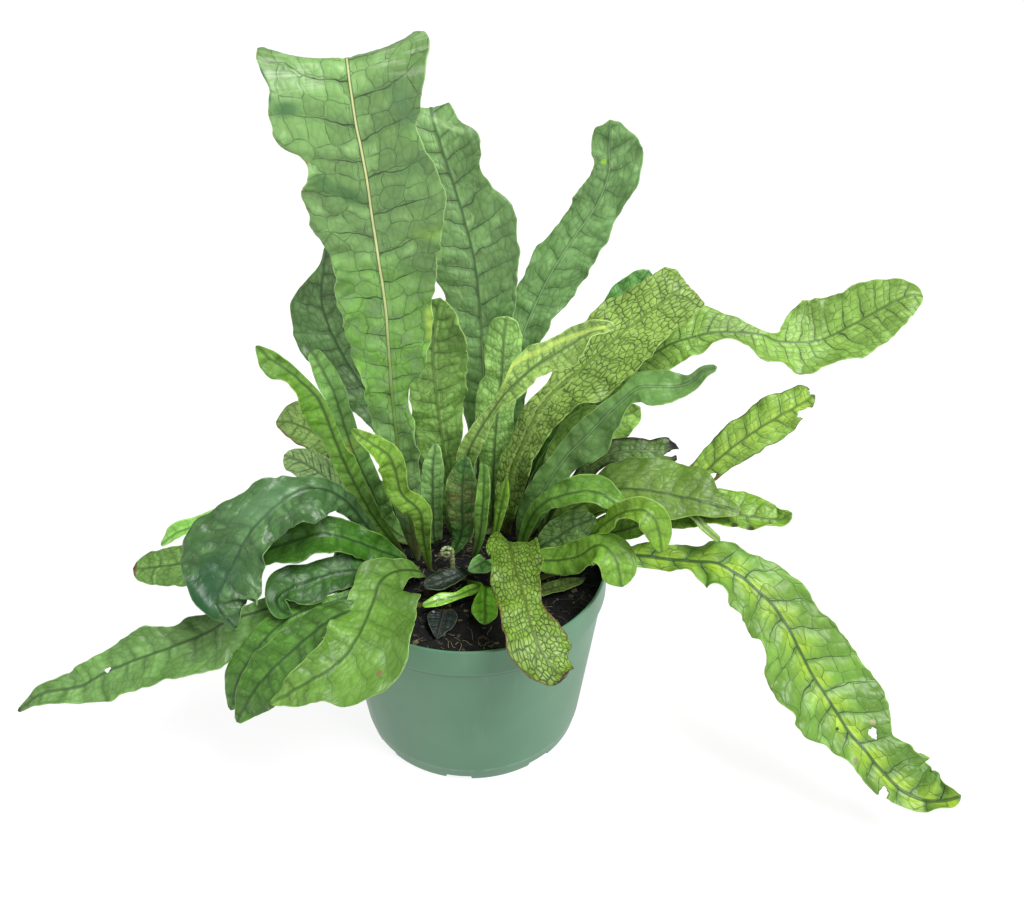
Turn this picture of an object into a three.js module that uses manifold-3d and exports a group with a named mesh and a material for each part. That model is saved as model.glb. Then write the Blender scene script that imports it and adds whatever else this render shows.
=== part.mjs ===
import * as THREE from "three";
import Module from "manifold-3d";
import { mergeVertices } from "three/addons/utils/BufferGeometryUtils.js";

// A crocodile strap fern in a round nursery pot. Millimetres, +Z up.
// The origin is the middle of the pot's underside, where it stands on the floor.

// Pot
const rimRadius = 82.5;
const potHeight = 120;
const collarHeight = 18;
const collarStep = 1.3;
const footRadius = 66.5;
const footRound = 2.5;
const heelHeight = 10;
const heelRadius = 68.6;
const wall = 1.7;
const baseThickness = 2;
const potSides = 64;
const drainSlots = 8;
const drainWidth = 17;
const drainHeight = 3;
const drainDepth = 8;
const drainTurn = -6;
const lipRound = 0.5;
const wallEase = 0.3;
const collarEase = 1;
const collarFoot = potHeight - collarHeight;
const neckRadius = rimRadius - collarStep - lipRound;

// Potting mix
const soilTop = 108;
const seatGap = 0.3;
const soilSides = 48;
const soilEdge = 3;
const soilEdgeDrop = 1.5;
const soilSlack = 0.4;

// Fronds
const stemHalfWidth = 1.6;
const stemHalfThickness = 1.3;
const bladeHalfThickness = 0.55;
const stemShare = 0.16;
const tipHalfWidth = 0.5;
const ringSpacing = 15;
const fewestRings = 9;
const mostRings = 28;
const wideBlade = 9;
const wideBladeSides = 8;
const slimBladeSides = 4;
const edgePhase = 1.9;
const mergeDistance = 1e-4;

// The place of the eye that saw the fern: each frond's points lie on its lines of sight.
const eye = { x: 25.4, y: -565.3, z: 574, down: 33.57, focal: 1200, middle: [512, 448.5] };
const eyePoint = new THREE.Vector3(eye.x, eye.y, eye.z);
const eyeDown = THREE.MathUtils.degToRad(eye.down);
const ahead = new THREE.Vector3(0, Math.cos(eyeDown), -Math.sin(eyeDown));
const aside = new THREE.Vector3(1, 0, 0);
const above = new THREE.Vector3().crossVectors(aside, ahead);
const up = new THREE.Vector3(0, 0, 1);
const towardsEye = ahead.clone().negate();

// Each frond from foot to tip. foot: where it leaves the potting mix, x and y.
// A route row holds the photo column and row, the distance behind the pot's axis,
// the blade's half widths to the left and right of the midrib, and a turn about the midrib.
// lean: how far the face tips from the eye to the sky. cup: how far the edges rise, at foot and tip.
// ruffle: height and number of the waves along the edges. curl: the row from which the tip rolls.
const fronds = [
  { name: "tall_front_frond", colour: 0x4f8f3c, foot: [-33, 13], lean: 0.25, cup: [0.12, 0.26],
    ruffle: [2.2, 7], curl: 11, route: [[411, 522, 12, 7, 7], [401, 473, 12, 10, 11],
      [396, 430, 11, 13, 12], [392, 392, 9, 15, 9], [390, 366, 7, 18, 19], [386, 312, 4, 24, 25],
      [379, 262, 1, 23, 30], [372, 216, -2, 30, 36], [367, 180, -4, 31, 36], [361, 148, -5, 27, 29],
      [356, 124, -5, 38, 29], [350, 84, -4, 38, 36], [347, 60, 4, 40, 38], [347, 62, 18, 35, 33],
      [350, 84, 28, 24, 22], [352, 98, 31, 8, 8]] },
  { name: "tall_middle_frond", colour: 0x3f7a3a, foot: [0, 46], lean: 0.2, cup: [0.12, 0.2],
    ruffle: [1.6, 6], curl: 9, route: [[486, 500, 44, 7, 7], [486, 440, 49, 11, 11],
      [484, 390, 54, 14, 14], [482, 339, 60, 16, 18.5], [476, 271, 67, 22.5, 24.5],
      [466, 226, 71, 24.5, 28], [453, 183, 74, 24, 17.5], [443, 152, 75, 22, 21],
      [435, 126, 78, 19, 13.5], [431, 108, 86, 12.5, 9.5], [432, 116, 96, 5, 5]] },
  { name: "tall_right_frond", colour: 0x4a8a44, foot: [12, 50], lean: 0.2, cup: [0.1, 0.1],
    ruffle: [1.2, 6], route: [[503, 500, 52, 7, 7], [505, 440, 58, 9, 9], [511, 385, 65, 10, 10],
      [523, 335, 73, 13, 12], [548, 279, 82, 14.5, 17.5], [573, 239, 88, 12.5, 18.5],
      [597, 205, 92, 13.5, 14.5], [609, 172, 94, 9.5, 18], [609, 150, 94, 9.5, 18],
      [610, 132, 92, 8.5, 10.5], [610, 120, 90, 2, 3]] },
  { name: "back_left_dark_frond", colour: 0x3b5f3a, foot: [-18, 52], lean: 0.2, cup: [0.1, 0.1],
    ruffle: [1, 4], route: [[430, 480, 56, 7, 7], [398, 430, 65, 11, 11], [360, 382, 75, 17, 17],
      [334, 338, 84, 21.5, 22.5], [322, 304, 91, 18.5, 22.5], [322, 284, 93, 10.5, 18.5],
      [324, 266, 95, 3, 13.5], [328, 246, 96, 2, 3]] },
  { name: "second_centre_frond", colour: 0x5f9a45, foot: [-12, 38], lean: 0.2, cup: [0.1, 0.1],
    ruffle: [1.4, 5], route: [[452, 510, 36, 7, 6], [447, 470, 35, 11, 9], [442, 438, 34, 15, 12],
      [437, 400, 33, 16, 16], [433, 354, 32, 13, 20], [436, 320, 31, 10, 17], [440, 298, 30, 3, 4]] },
  { name: "left_olive_frond", colour: 0x8a9a58, foot: [-46, 34], lean: 0.6, cup: [0.1, 0.1],
    ruffle: [0.8, 3], route: [[386, 525, 38, 3, 3], [358, 480, 48, 6, 6], [332, 445, 58, 9, 12.5],
      [312, 431, 64, 11.5, 17.5], [292, 423, 70, 9.5, 14.5], [276, 422, 74, 2, 3]] },
  { name: "left_veined_frond", colour: 0x93ab7c, foot: [-53, 24], lean: 0.6, cup: [0.1, 0.1],
    ruffle: [0.6, 3], route: [[370, 532, 25, 3, 3], [350, 500, 30, 7, 7], [325, 477, 36, 10, 10],
      [302, 462, 42, 9, 9], [284, 455, 46, 5, 5]] },
  { name: "left_bright_frond", colour: 0x5da032, foot: [-42, 17], lean: 0.4, cup: [0.15, 0.15],
    ruffle: [0.8, 4], route: [[376, 520, 14, 5, 5], [352, 478, 12, 6, 6], [337, 444, 11, 7, 4],
      [326, 415, 10, 11, 3], [316, 396, 9, 12, 3], [292, 374, 8, 8, 4], [272, 360, 7, 9, 5],
      [256, 346, 6, 1, 1]] },
  { name: "left_inner_frond", colour: 0x558f4a, foot: [-36, 28], lean: 0.4, cup: [0.12, 0.12],
    ruffle: [0.8, 4], route: [[388, 525, 25, 7, 7], [370, 487, 23, 8, 8], [352, 448, 22, 8, 8],
      [340, 410, 21, 6, 7], [333, 390, 20, 7, 7], [321, 367, 19, 6, 6], [311, 351, 18, 3, 4]] },
  { name: "folded_light_frond", colour: 0x8ebc4f, foot: [-25, 5], lean: 0.3, cup: [0.2, 0.2],
    ruffle: [0.5, 3], route: [[424, 540, 2, 4, 4], [420, 512, 0, 6, 6], [402, 494, -1, 7, 5],
      [396, 472, -2, 9, 6], [388, 455, -3, 9, 6], [366, 440, -4, 5, 5], [351, 429, -5, 1, 1]] },
  { name: "grey_centre_frond", colour: 0x7aa386, foot: [-22, 28], lean: 0.2, cup: [0.1, 0.1],
    ruffle: [0.4, 3], route: [[434, 535, 24, 5, 5], [433, 500, 22, 7, 6], [433, 468, 21, 6.5, 6],
      [435, 450, 21, 3, 4], [436, 443, 21, 1, 1]] },
  { name: "round_tip_frond", colour: 0x5f9b57, foot: [6, 39], lean: 0.2, cup: [0.1, 0.1],
    ruffle: [0.6, 4], route: [[492, 520, 38, 7, 7], [493, 480, 40, 8, 9], [496, 430, 41, 11, 10],
      [499, 395, 42, 13, 9], [502, 375, 42, 10, 10], [504, 340, 42, 10, 9.5], [507, 316, 42, 5, 6]] },
  { name: "twisted_pale_frond", colour: 0x9cc057, foot: [-4, 30], lean: 0.5, cup: [0.35, 0.35],
    ruffle: [0.6, 3], route: [[468, 530, 28, 4, 4], [467, 490, 26, 5, 5], [468, 455, 21, 6, 6],
      [480, 430, 17, 5, 5], [495, 408, 14, 3.5, 4.5], [510, 389, 11, 5, 9], [524, 375, 10, 9, 8],
      [541, 363, 9, 9.5, 6.5], [560, 351, 8, 8, 9], [582, 338, 7, 7.5, 10], [600, 330, 6, 6, 4.5],
      [616, 327, 6, 2, 1]] },
  { name: "netted_right_frond", colour: 0x8fae45, foot: [23, 38], lean: 0.4, cup: [0.1, 0.2],
    ruffle: [1.2, 5], route: [[504, 515, 33, 6, 7], [512, 471, 32, 8, 11], [522, 447, 32, 8, 11],
      [536, 416, 33, 9, 13], [555, 391, 35, 7, 17], [579, 371, 38, 16, 21.5],
      [607, 346, 42, 19.5, 22.5], [630, 327, 46, 19.5, 20.5], [655, 309, 50, 17.5, 18.5],
      [677, 292, 54, 15.5, 16.5], [688, 285, 60, 12.5, 13.5], [690, 288, 68, 6, 6]] },
  { name: "hidden_back_frond", colour: 0x4f8a45, foot: [26, 54], lean: 0.3, cup: [0.1, 0.1],
    ruffle: [0.6, 4], route: [[528, 480, 61, 7, 7], [560, 410, 73, 10, 10], [597, 348, 88, 12.5, 12.5],
      [628, 302, 100, 12.5, 11.5], [643, 280, 106, 8.5, 7.5], [649, 270, 109, 3, 3]] },
  { name: "long_right_frond", colour: 0x68b23f, foot: [38, 46], lean: 0.7, cup: [0.1, 0.1],
    ruffle: [1.4, 6], route: [[535, 500, 47, 8, 8], [570, 440, 52, 10, 10], [615, 385, 57, 14, 14],
      [660, 350, 60, 17.5, 14], [702, 335, 62, 17.5, 10.5], [732, 333, 63, 11.5, 8.5],
      [762, 335, 64, 3, 17.5], [776, 341, 65, 6.5, 19], [795, 343, 66, 22, 21],
      [820, 340, 67, 25.5, 20], [846, 328, 68, 22.5, 22.5], [870, 315, 69, 20.5, 19],
      [894, 302, 70, 15, 16], [912, 296, 71, 8.5, 9.5], [923, 297, 72, 2, 2]] },
  { name: "hook_tip_frond", colour: 0x5c9560, foot: [30, 24], lean: 0.5, cup: [0.15, 0.15],
    ruffle: [0.8, 4], route: [[530, 515, 20, 8, 8], [548, 483, 18, 9, 10], [567, 456, 16, 7, 9],
      [585, 438, 14, 9, 14], [608, 414, 12, 7, 11], [626, 397, 11, 5, 6], [641, 387, 10, 9, 11],
      [661, 387, 9, 10, 13], [679, 386, 8, 7, 8], [692, 381, 7, 4, 5], [704, 371, 6, 3, 4],
      [717, 367, 5, 1.5, 2]] },
  { name: "hidden_right_frond", colour: 0x8fbf3c, foot: [44, 34], lean: 0.5, cup: [0.1, 0.1],
    ruffle: [0.8, 4], route: [[545, 500, 35, 6, 6], [560, 455, 37, 8, 8], [585, 425, 38, 10, 11],
      [612, 418, 39, 8, 14.5], [630, 413, 39, 6, 10.5], [640, 407, 39, 2, 3]] },
  { name: "withered_frond", colour: 0x6a6f58, foot: [42, 22], lean: 0.7, cup: [0.1, 0.1],
    ruffle: [1.6, 5], route: [[556, 510, 19, 3, 3], [580, 478, 20, 5, 5], [604, 458, 20, 7, 6],
      [628, 451, 21, 8, 8], [652, 451, 21, 7, 9], [668, 451, 21, 8, 9], [679, 449, 21, 5.5, 6]] },
  { name: "broad_right_frond", colour: 0x7fa653, foot: [40, 12], lean: 0.8, cup: [0.05, 0.05],
    ruffle: [1.4, 4], route: [[560, 520, 7, 6, 5], [590, 500, 4, 10, 8], [615, 490, -2, 17, 12],
      [643, 490, -6, 20, 13], [672, 495, -10, 22, 16], [697, 500, -14, 19, 10], [720, 506, -17, 9, 7],
      [741, 513, -20, 2, 2]] },
  { name: "notched_frond", colour: 0x76b83a, foot: [52, 20], lean: 0.6, cup: [0.1, 0.1],
    ruffle: [1, 5], route: [[590, 530, 17, 4, 4], [640, 510, 18, 7, 7], [676, 494, 20, 6, 6],
      [700, 476, 22, 8.5, 7], [727, 452, 25, 11.5, 10], [751, 434, 28, 12.5, 12],
      [778, 417, 31, 14, 12.5], [800, 405, 33, 11.5, 7.5], [815, 395, 34, 8.5, 3]] },
  { name: "lower_right_frond", colour: 0x65a045, foot: [54, 8], lean: 0.9, cup: [0.05, 0.05],
    ruffle: [0.8, 4], route: [[585, 540, 5, 4, 4], [625, 530, 1, 8, 7], [665, 518, -5, 10, 8],
      [700, 512, -10, 12, 10], [738, 515, -14, 15, 9], [762, 519, -16, 12, 8], [780, 520, -17, 8, 6],
      [792, 513, -18, 2, 2]] },
  { name: "ribbon_leaf", colour: 0x8cbb52, foot: [48, 14], lean: 0.8, cup: [0.1, 0.1],
    ruffle: [0.2, 2], route: [[590, 518, 6, 2, 2], [620, 506, 1, 2, 2], [655, 504, -7, 2, 2],
      [690, 514, -16, 2, 2], [704, 527, -21, 2.5, 2.5], [720, 541, -24, 2, 2]] },
  { name: "hanging_tip_frond", colour: 0x86c13a, foot: [61, 4], lean: 0.8, cup: [0.1, 0.1],
    ruffle: [0.6, 3], route: [[595, 534, -15, 4, 4], [608, 522, -27, 6, 7], [625, 513, -35, 6, 6],
      [645, 511, -41, 7, 8], [656, 522, -45, 8, 9], [660, 536, -47, 7, 7], [662, 552, -49, 2, 2]] },
  { name: "arching_right_frond", colour: 0x6fae4f, foot: [28, 10], lean: 0.8, cup: [0.15, 0.15],
    ruffle: [0.8, 4], route: [[530, 520, 2, 4, 4], [546, 502, -4, 6, 5], [570, 494, -9, 9, 7],
      [596, 492, -13, 10, 8], [618, 504, -20, 6, 5], [638, 512, -22, 2, 2]] },
  { name: "knob_tip_frond", colour: 0x62a838, foot: [30, -9], lean: 0.8, cup: [0.1, 0.1],
    ruffle: [0.6, 3], route: [[530, 563, -15, 5, 5], [561, 560, -23, 9, 8], [579, 556, -28, 10, 7],
      [596, 546, -34, 7, 12], [608, 549, -39, 10, 12], [617, 562, -45, 11, 11], [620, 576, -50, 9, 10],
      [622, 587, -53, 3, 3]] },
  { name: "drooping_right_frond", colour: 0x6fb53c, foot: [42, -6], lean: 1, cup: [0.1, 0.1],
    ruffle: [2, 9], route: [[582, 560, -14, 4, 4], [606, 555, -16, 6, 6], [634, 555, -17, 8, 7],
      [666, 559, -20, 9, 7], [696, 562, -24, 11, 11], [720, 565, -28, 14, 17], [753, 586, -37, 19, 20],
      [776, 609, -45, 21, 20], [792, 635, -54, 24, 22], [808, 668, -63, 28, 26],
      [829, 701, -74, 30, 26], [850, 733, -85, 28, 16], [870, 757, -94, 20, 13],
      [888, 778, -101, 22, 11], [908, 794, -107, 24, 9], [930, 801, -111, 18, 6],
      [948, 800, -113, 13, 5], [961, 796, -114, 4, 2]] },
  { name: "netted_front_frond", colour: 0x8eae43, foot: [16, 6], lean: 1.6, cup: [0.1, 0.1],
    ruffle: [1.4, 6], route: [[513, 548, -4, 6, 6], [510, 543, -20, 14, 12], [513, 560, -40, 17, 14],
      [519, 580, -56, 12, 15], [526, 604, -72, 9, 15], [533, 630, -86, 13, 17], [543, 653, -97, 16, 15],
      [556, 670, -105, 12, 10], [566, 677, -109, 4, 4]] },
  { name: "broad_left_front_frond", colour: 0x76b04b, foot: [-28, -4], lean: 0.9, cup: [0.08, 0.08],
    ruffle: [1.6, 6], route: [[418, 572, -12, 4, 6], [398, 571, -24, 8, 8], [382, 580, -36, 20, 15],
      [375, 597, -48, 25, 13], [369, 613, -59, 27, 15], [358, 637, -76, 30, 17],
      [345, 657, -86, 30, 16], [330, 670, -93, 24, 14], [311, 681, -98, 14, 11], [290, 693, -102, 8, 7],
      [270, 704, -105, 1, 1]] },
  { name: "left_under_frond", colour: 0x4f8f34, foot: [-30, -30], lean: 0.9, cup: [0.08, 0.08],
    ruffle: [1, 5], route: [[384, 600, -42, 4, 4], [358, 609, -55, 6, 6], [334, 618, -60, 11, 10],
      [312, 634, -66, 15, 12], [290, 653, -72, 17, 13], [270, 672, -77, 16, 13],
      [252, 695, -81, 13, 10], [237, 722, -84, 2, 2]] },
  { name: "small_left_frond", colour: 0x4f8f45, foot: [-40, -22], lean: 0.9, cup: [0.1, 0.1],
    ruffle: [0.8, 4], route: [[375, 588, -31, 3, 3], [340, 600, -43, 4, 4], [308, 610, -49, 5, 5],
      [285, 621, -56, 6, 7], [266, 638, -62, 9, 9], [250, 659, -67, 10, 9], [237, 682, -71, 8, 9],
      [231, 710, -74, 1.5, 1.5]] },
  { name: "long_left_frond", colour: 0x5c9a4c, foot: [-44, -14], lean: 0.9, cup: [0.1, 0.1],
    ruffle: [1.4, 7], route: [[366, 580, -22, 3, 3], [330, 588, -31, 4, 4], [290, 602, -36, 8, 6],
      [258, 612, -41, 12, 6], [228, 622, -46, 20, 7], [203, 635, -51, 21.5, 13],
      [180, 644, -56, 21.5, 11.5], [156, 653, -60, 19.5, 15.5], [128, 663, -64, 16.5, 15.5],
      [104, 673, -67, 17.5, 11.5], [82, 686, -69, 10.5, 11.5], [60, 690, -71, 8.5, 7.5],
      [40, 695, -72, 6.5, 5], [18, 711, -73, 1, 1]] },
  { name: "dark_drooping_frond", colour: 0x3f7340, foot: [-51, 12], lean: 1, cup: [-0.05, -0.05],
    ruffle: [1.6, 5], route: [[362, 520, 2, 5, 5], [338, 495, -6, 10, 7], [312, 489, -14, 20, 9],
      [290, 496, -22, 20, 15], [267, 515, -30, 14, 20], [251, 532, -38, 15, 27],
      [237, 555, -46, 16, 31], [226, 578, -54, 21, 28], [218, 600, -62, 23, 15], [224, 615, -66, 15, 4],
      [236, 628, -68, 3, 2]] },
  { name: "far_left_frond", colour: 0x6fae4c, foot: [-57, 17], lean: 0.8, cup: [0.08, 0.08],
    ruffle: [0.6, 3], route: [[370, 540, 16, 3, 3], [320, 535, 20, 6, 6], [265, 545, 26, 9, 8],
      [215, 557, 32, 13.5, 11.5], [180, 564, 36, 14.5, 12.5], [150, 568, 39, 10.5, 11.5],
      [133, 569, 40, 6, 7.5]] },
  { name: "curled_left_leaf", colour: 0x7fae6a, foot: [-60, 32], lean: 0.7, cup: [0.2, 0.2],
    ruffle: [0.4, 3], route: [[360, 512, 37, 3, 3], [310, 495, 43, 5, 5], [250, 505, 50, 6, 6],
      [205, 523, 56, 6, 6], [178, 533, 60, 5, 6.5], [161, 545, 62, 1.5, 1.5]] },
  { name: "left_v_frond", colour: 0x4d8f2e, foot: [-46, 2], lean: 0.9, cup: [0.35, 0.35],
    ruffle: [0.8, 4], route: [[402, 560, 0, 4, 3], [378, 550, -6, 7, 8], [350, 540, -12, 11, 10],
      [320, 534, -18, 14, 10], [290, 543, -23, 14, 9], [266, 551, -27, 9, 8], [248, 557, -30, 3, 3]] },
  { name: "left_dark_frond", colour: 0x3f7a35, foot: [-46, -6], lean: 0.9, cup: [0.08, 0.3],
    ruffle: [1, 4], route: [[388, 572, -14, 4, 4], [360, 571, -24, 10, 9], [335, 573, -31, 11, 10],
      [308, 582, -38, 13, 11], [287, 590, -43, 10, 14], [278, 600, -48, 5, 7], [282, 611, -54, 5, 5],
      [291, 615, -58, 2, 2]] },
  { name: "shade_leaf", colour: 0x2f5f45, foot: [-6, -4], lean: 1, cup: [0.1, 0.1],
    ruffle: [0.3, 2], route: [[463, 573, -13, 3, 3], [450, 578, -18, 6, 6], [436, 583, -22, 6, 6],
      [423, 586, -26, 2, 2]] },
  { name: "inner_blue_leaf", colour: 0x3f7a5a, foot: [8, 8], lean: 0.8, cup: [0.1, 0.1],
    ruffle: [0.2, 2], route: [[488, 562, 2, 3, 3], [484, 562, -6, 7, 5], [477, 566, -12, 7, 5],
      [468, 571, -16, 1, 1]] },
  { name: "spear_leaf", colour: 0x97c838, foot: [12, 18], lean: 0.2, cup: [0.15, 0.15],
    ruffle: [0.1, 2], route: [[496, 532, 14, 2, 2], [500, 512, 12, 3, 3.2], [504, 494, 11, 3, 3.2],
      [507, 476, 10, 0.6, 0.6]] },
  { name: "mottled_frond", colour: 0x5d6336, foot: [-12, 16], lean: 0.2, cup: [0.1, 0.1],
    ruffle: [0.6, 3], route: [[462, 532, 15, 6, 6], [462, 505, 14, 9, 9], [463, 480, 14, 9, 9],
      [466, 456, 14, 2, 2]] },
  { name: "slim_centre_frond", colour: 0x5a8a45, foot: [2, 15], lean: 0.2, cup: [0.15, 0.15],
    ruffle: [0.3, 3], route: [[480, 535, 10, 3, 3], [483, 505, 8, 5, 4], [484, 485, 7, 4, 4],
      [484, 464, 6, 2, 2]] },
  { name: "dark_netted_right_frond", colour: 0x3f6b35, foot: [36, 3], lean: 0.8, cup: [0.05, 0.05],
    ruffle: [0.8, 3], route: [[540, 548, -2, 4, 4], [556, 538, -5, 10, 7], [574, 527, -8, 10, 8],
      [590, 521, -8, 6, 6], [596, 518, -8, 2, 2]] },
  { name: "sprout_leaf_left", colour: 0x9fd62c, foot: [0, -9], lean: 1.2, cup: [0.2, 0.2],
    ruffle: [0.6, 4], route: [[480, 586, -19, 2, 2], [469, 591, -25, 3.5, 3.5],
      [457, 596, -31, 2.5, 2.5], [441, 600, -35, 4, 4], [422, 606, -39, 1.5, 1.5]] },
  { name: "sprout_leaf_front", colour: 0x8fd02c, foot: [12, -15], lean: 1.4, cup: [0.15, 0.15],
    ruffle: [0.3, 2], route: [[486, 588, -26, 3, 2], [485, 600, -36, 6, 6], [485, 613, -46, 7, 7],
      [485, 625, -54, 2, 2]] },
  { name: "lime_tip_upper", colour: 0xa3d83a, foot: [-52, 20], lean: 0.4, cup: [0.2, 0.2],
    ruffle: [0.1, 1], route: [[373, 510, 18, 1.6, 1.6], [362, 494, 18, 2.4, 2.4],
      [352, 485, 18, 1, 1]] },
  { name: "lime_tip_lower", colour: 0x9fd63a, foot: [-57, 7], lean: 0.5, cup: [0.2, 0.2],
    ruffle: [0.1, 1], route: [[350, 538, 2, 1.6, 1.6], [335, 522, -1, 2.6, 2.6],
      [318, 518, -3, 1.2, 1.2]] },
];

// Small pieces on the potting mix
const stump = { name: "old_stem_stump", colour: 0xa58f5e, at: [-24, -19], radius: 3.6, topRadius: 3.2,
  height: 5, sides: 14 };
const fiddlehead = { name: "fiddlehead", colour: 0xc9d6a4, foot: [-14, 2], height: 15, coilRadius: 3.4,
  coilShrink: 0.62, sideways: 3.6, turns: 1.4, thick: 1.5, thin: 0.8, stemSteps: 5, coilSteps: 12, rings: 44,
  sides: 8 };
const fallenLeaves = [
  { name: "dead_leaf", colour: 0x6a5f56, lift: 1.6, thickness: 1, waveLength: 60,
    outline: [[-24, -39], [-21, -51], [-17, -60], [-9, -50], [-5, -36], [-14, -34]] },
  { name: "soil_leaf_right", colour: 0x55602f, lift: 2.2, thickness: 1, waveLength: 42,
    outline: [[38, -20], [50, -13], [64, -8], [70, -5], [66, -13], [62, -18], [52, -24], [41, -25]] },
];

const wasm = await Module();
wasm.setup();

const material = (colour, roughness = 0.5) =>
  new THREE.MeshStandardMaterial({ color: colour, roughness, metalness: 0 });

const piece = (name, geometry, colour, roughness) => {
  const mesh = new THREE.Mesh(geometry, material(colour, roughness));
  mesh.name = name;
  return mesh;
};

// The point on a line of sight, given its photo column and row and its distance behind the pot's axis
function onSight(column, row, behind) {
  const direction = ahead.clone()
    .addScaledVector(aside, (column - eye.middle[0]) / eye.focal)
    .addScaledVector(above, (eye.middle[1] - row) / eye.focal);
  return eyePoint.clone().addScaledVector(direction, (behind - eye.y) / direction.y);
}

// The blade's own axes at a place on its midrib: across it to the right, and out of its face
function bladeAxes(tangent, face, turn) {
  const out = face.clone().addScaledVector(tangent, -face.dot(tangent)).normalize();
  const right = new THREE.Vector3().crossVectors(tangent, out);
  return [right.applyAxisAngle(tangent, turn), out.applyAxisAngle(tangent, turn)];
}

// Splits the squares on a flattened tube's underside along the same diagonals as those above them,
// so that a thin blade which twists doesn't pass through itself.
function matchUnderside(geometry, squares) {
  const { index, attributes: { position } } = geometry;
  for (let start = 0; start < squares * 6; start += 6) {
    const [first, second, fourth, , third] = [0, 1, 2, 3, 4].map((step) => index.getX(start + step));
    const height = [first, second, third, fourth].reduce((sum, corner) => sum + position.getZ(corner), 0);
    const corners = [first, second, third, first, third, fourth];
    if (height < 0) {
      corners.forEach((corner, step) => index.setX(start + step, corner));
    }
  }
}

// A frond is a closed tube whose rings are flattened into the blade's section.
function frondGeometry({ foot, route, lean, cup, ruffle, curl }) {
  const [waveHeight, waves] = ruffle;
  const footPoint = new THREE.Vector3(foot[0], foot[1], soilTop + seatGap);
  const places = [footPoint, ...route.map(([column, row, behind]) => onSight(column, row, behind))];
  const sizes = [new THREE.Vector3(stemHalfWidth, stemHalfWidth, 0),
    ...route.map(([, , , left, right, turn = 0]) => new THREE.Vector3(left, right, turn))];
  const path = new THREE.CatmullRomCurve3(places, false, "catmullrom", 0.5);
  const shape = new THREE.CatmullRomCurve3(sizes, false, "catmullrom", 0.5);
  const rings = THREE.MathUtils.clamp(Math.round(path.getLength() / ringSpacing), fewestRings, mostRings);
  const widest = Math.max(...sizes.map((size) => Math.max(size.x, size.y)));
  const sides = widest > wideBlade ? wideBladeSides : slimBladeSides;
  const geometry = new THREE.CylinderGeometry(1, 1, 1, sides, rings);
  const position = geometry.attributes.position;
  matchUnderside(geometry, sides * rings);
  const face = towardsEye.clone().addScaledVector(up, lean).normalize();
  const curlFrom = curl === undefined ? Infinity : curl / (places.length - 1);
  const frames = [];
  for (let ring = 0; ring <= rings; ring += 1) {
    const t = ring / rings;
    const tangent = ring === 0 ? up.clone() : path.getTangent(t);
    const size = shape.getPoint(t);
    const before = frames[ring - 1];
    const facing = t > curlFrom ? before.out : face;
    const [right, out] = bladeAxes(tangent, facing, t > curlFrom ? 0 : THREE.MathUtils.degToRad(size.z));
    frames.push({ t, right, out, middle: path.getPoint(t), size });
  }
  for (let index = 0; index < position.count; index += 1) {
    const ring = Math.round((position.getY(index) + 0.5) * rings);
    const { t, right, out, middle, size } = frames[ring];
    const across = position.getX(index);
    const halfWidth = Math.max(tipHalfWidth, across < 0 ? size.x : size.y);
    const stem = Math.max(0, 1 - t / stemShare);
    const thickness = bladeHalfThickness + (stemHalfThickness - bladeHalfThickness) * stem;
    const phase = across < 0 ? edgePhase : 0;
    const wave = waveHeight * Math.sin(2 * Math.PI * waves * t + phase) * Math.min(1, halfWidth / wideBlade);
    const bend = THREE.MathUtils.lerp(cup[0], cup[1], t * t) * halfWidth;
    const rise = across * across * (bend + wave * (1 - stem));
    const place = middle.clone()
      .addScaledVector(right, across * halfWidth)
      .addScaledVector(out, rise + position.getZ(index) * thickness);
    position.setXYZ(index, place.x, place.y, place.z);
  }
  return geometry;
}

const asSolid = (geometry) => {
  const bare = geometry.clone();
  bare.deleteAttribute("normal");
  bare.deleteAttribute("uv");
  const joined = mergeVertices(bare, mergeDistance);
  return new wasm.Manifold(new wasm.Mesh({
    numProp: 3,
    vertProperties: new Float32Array(joined.attributes.position.array),
    triVerts: new Uint32Array(joined.index.array),
  }));
};

const asGeometry = (solid) => {
  const { vertProperties, triVerts } = solid.getMesh();
  const geometry = new THREE.BufferGeometry();
  geometry.setAttribute("position", new THREE.BufferAttribute(vertProperties, 3));
  geometry.setIndex(new THREE.BufferAttribute(triVerts, 1));
  return geometry;
};

// Stands a lathe profile of radius and height up on the Z axis
const turned = (profile, sides) =>
  new THREE.LatheGeometry(profile.map(([radius, height]) => new THREE.Vector2(radius, height)), sides)
    .rotateX(Math.PI / 2);

function potGeometry() {
  const profile = [
    [0, 0], [footRadius - footRound, 0], [footRadius, footRound], [heelRadius, heelHeight],
    [neckRadius, collarFoot - collarEase], [rimRadius - lipRound, collarFoot],
    [rimRadius, potHeight - lipRound], [rimRadius - lipRound, potHeight], [rimRadius - wall, potHeight],
    [rimRadius - wall, collarFoot + collarEase], [neckRadius - wall, collarFoot - collarEase * 2],
    [heelRadius - wall, heelHeight + wallEase], [footRadius - wall, footRound + wallEase],
    [footRadius - footRound - wall, baseThickness], [0, baseThickness]];
  let pot = asSolid(turned(profile, potSides));
  const slot = new THREE.BoxGeometry(drainDepth * 2, drainWidth, drainHeight * 2);
  for (let count = 0; count < drainSlots; count += 1) {
    const turn = THREE.MathUtils.degToRad(drainTurn - 90 + count * 360 / drainSlots);
    const place = new THREE.Matrix4()
      .makeRotationZ(turn)
      .multiply(new THREE.Matrix4().makeTranslation(footRadius, 0, 0));
    pot = pot.subtract(asSolid(slot.clone().applyMatrix4(place)));
  }
  return asGeometry(pot);
}

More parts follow.
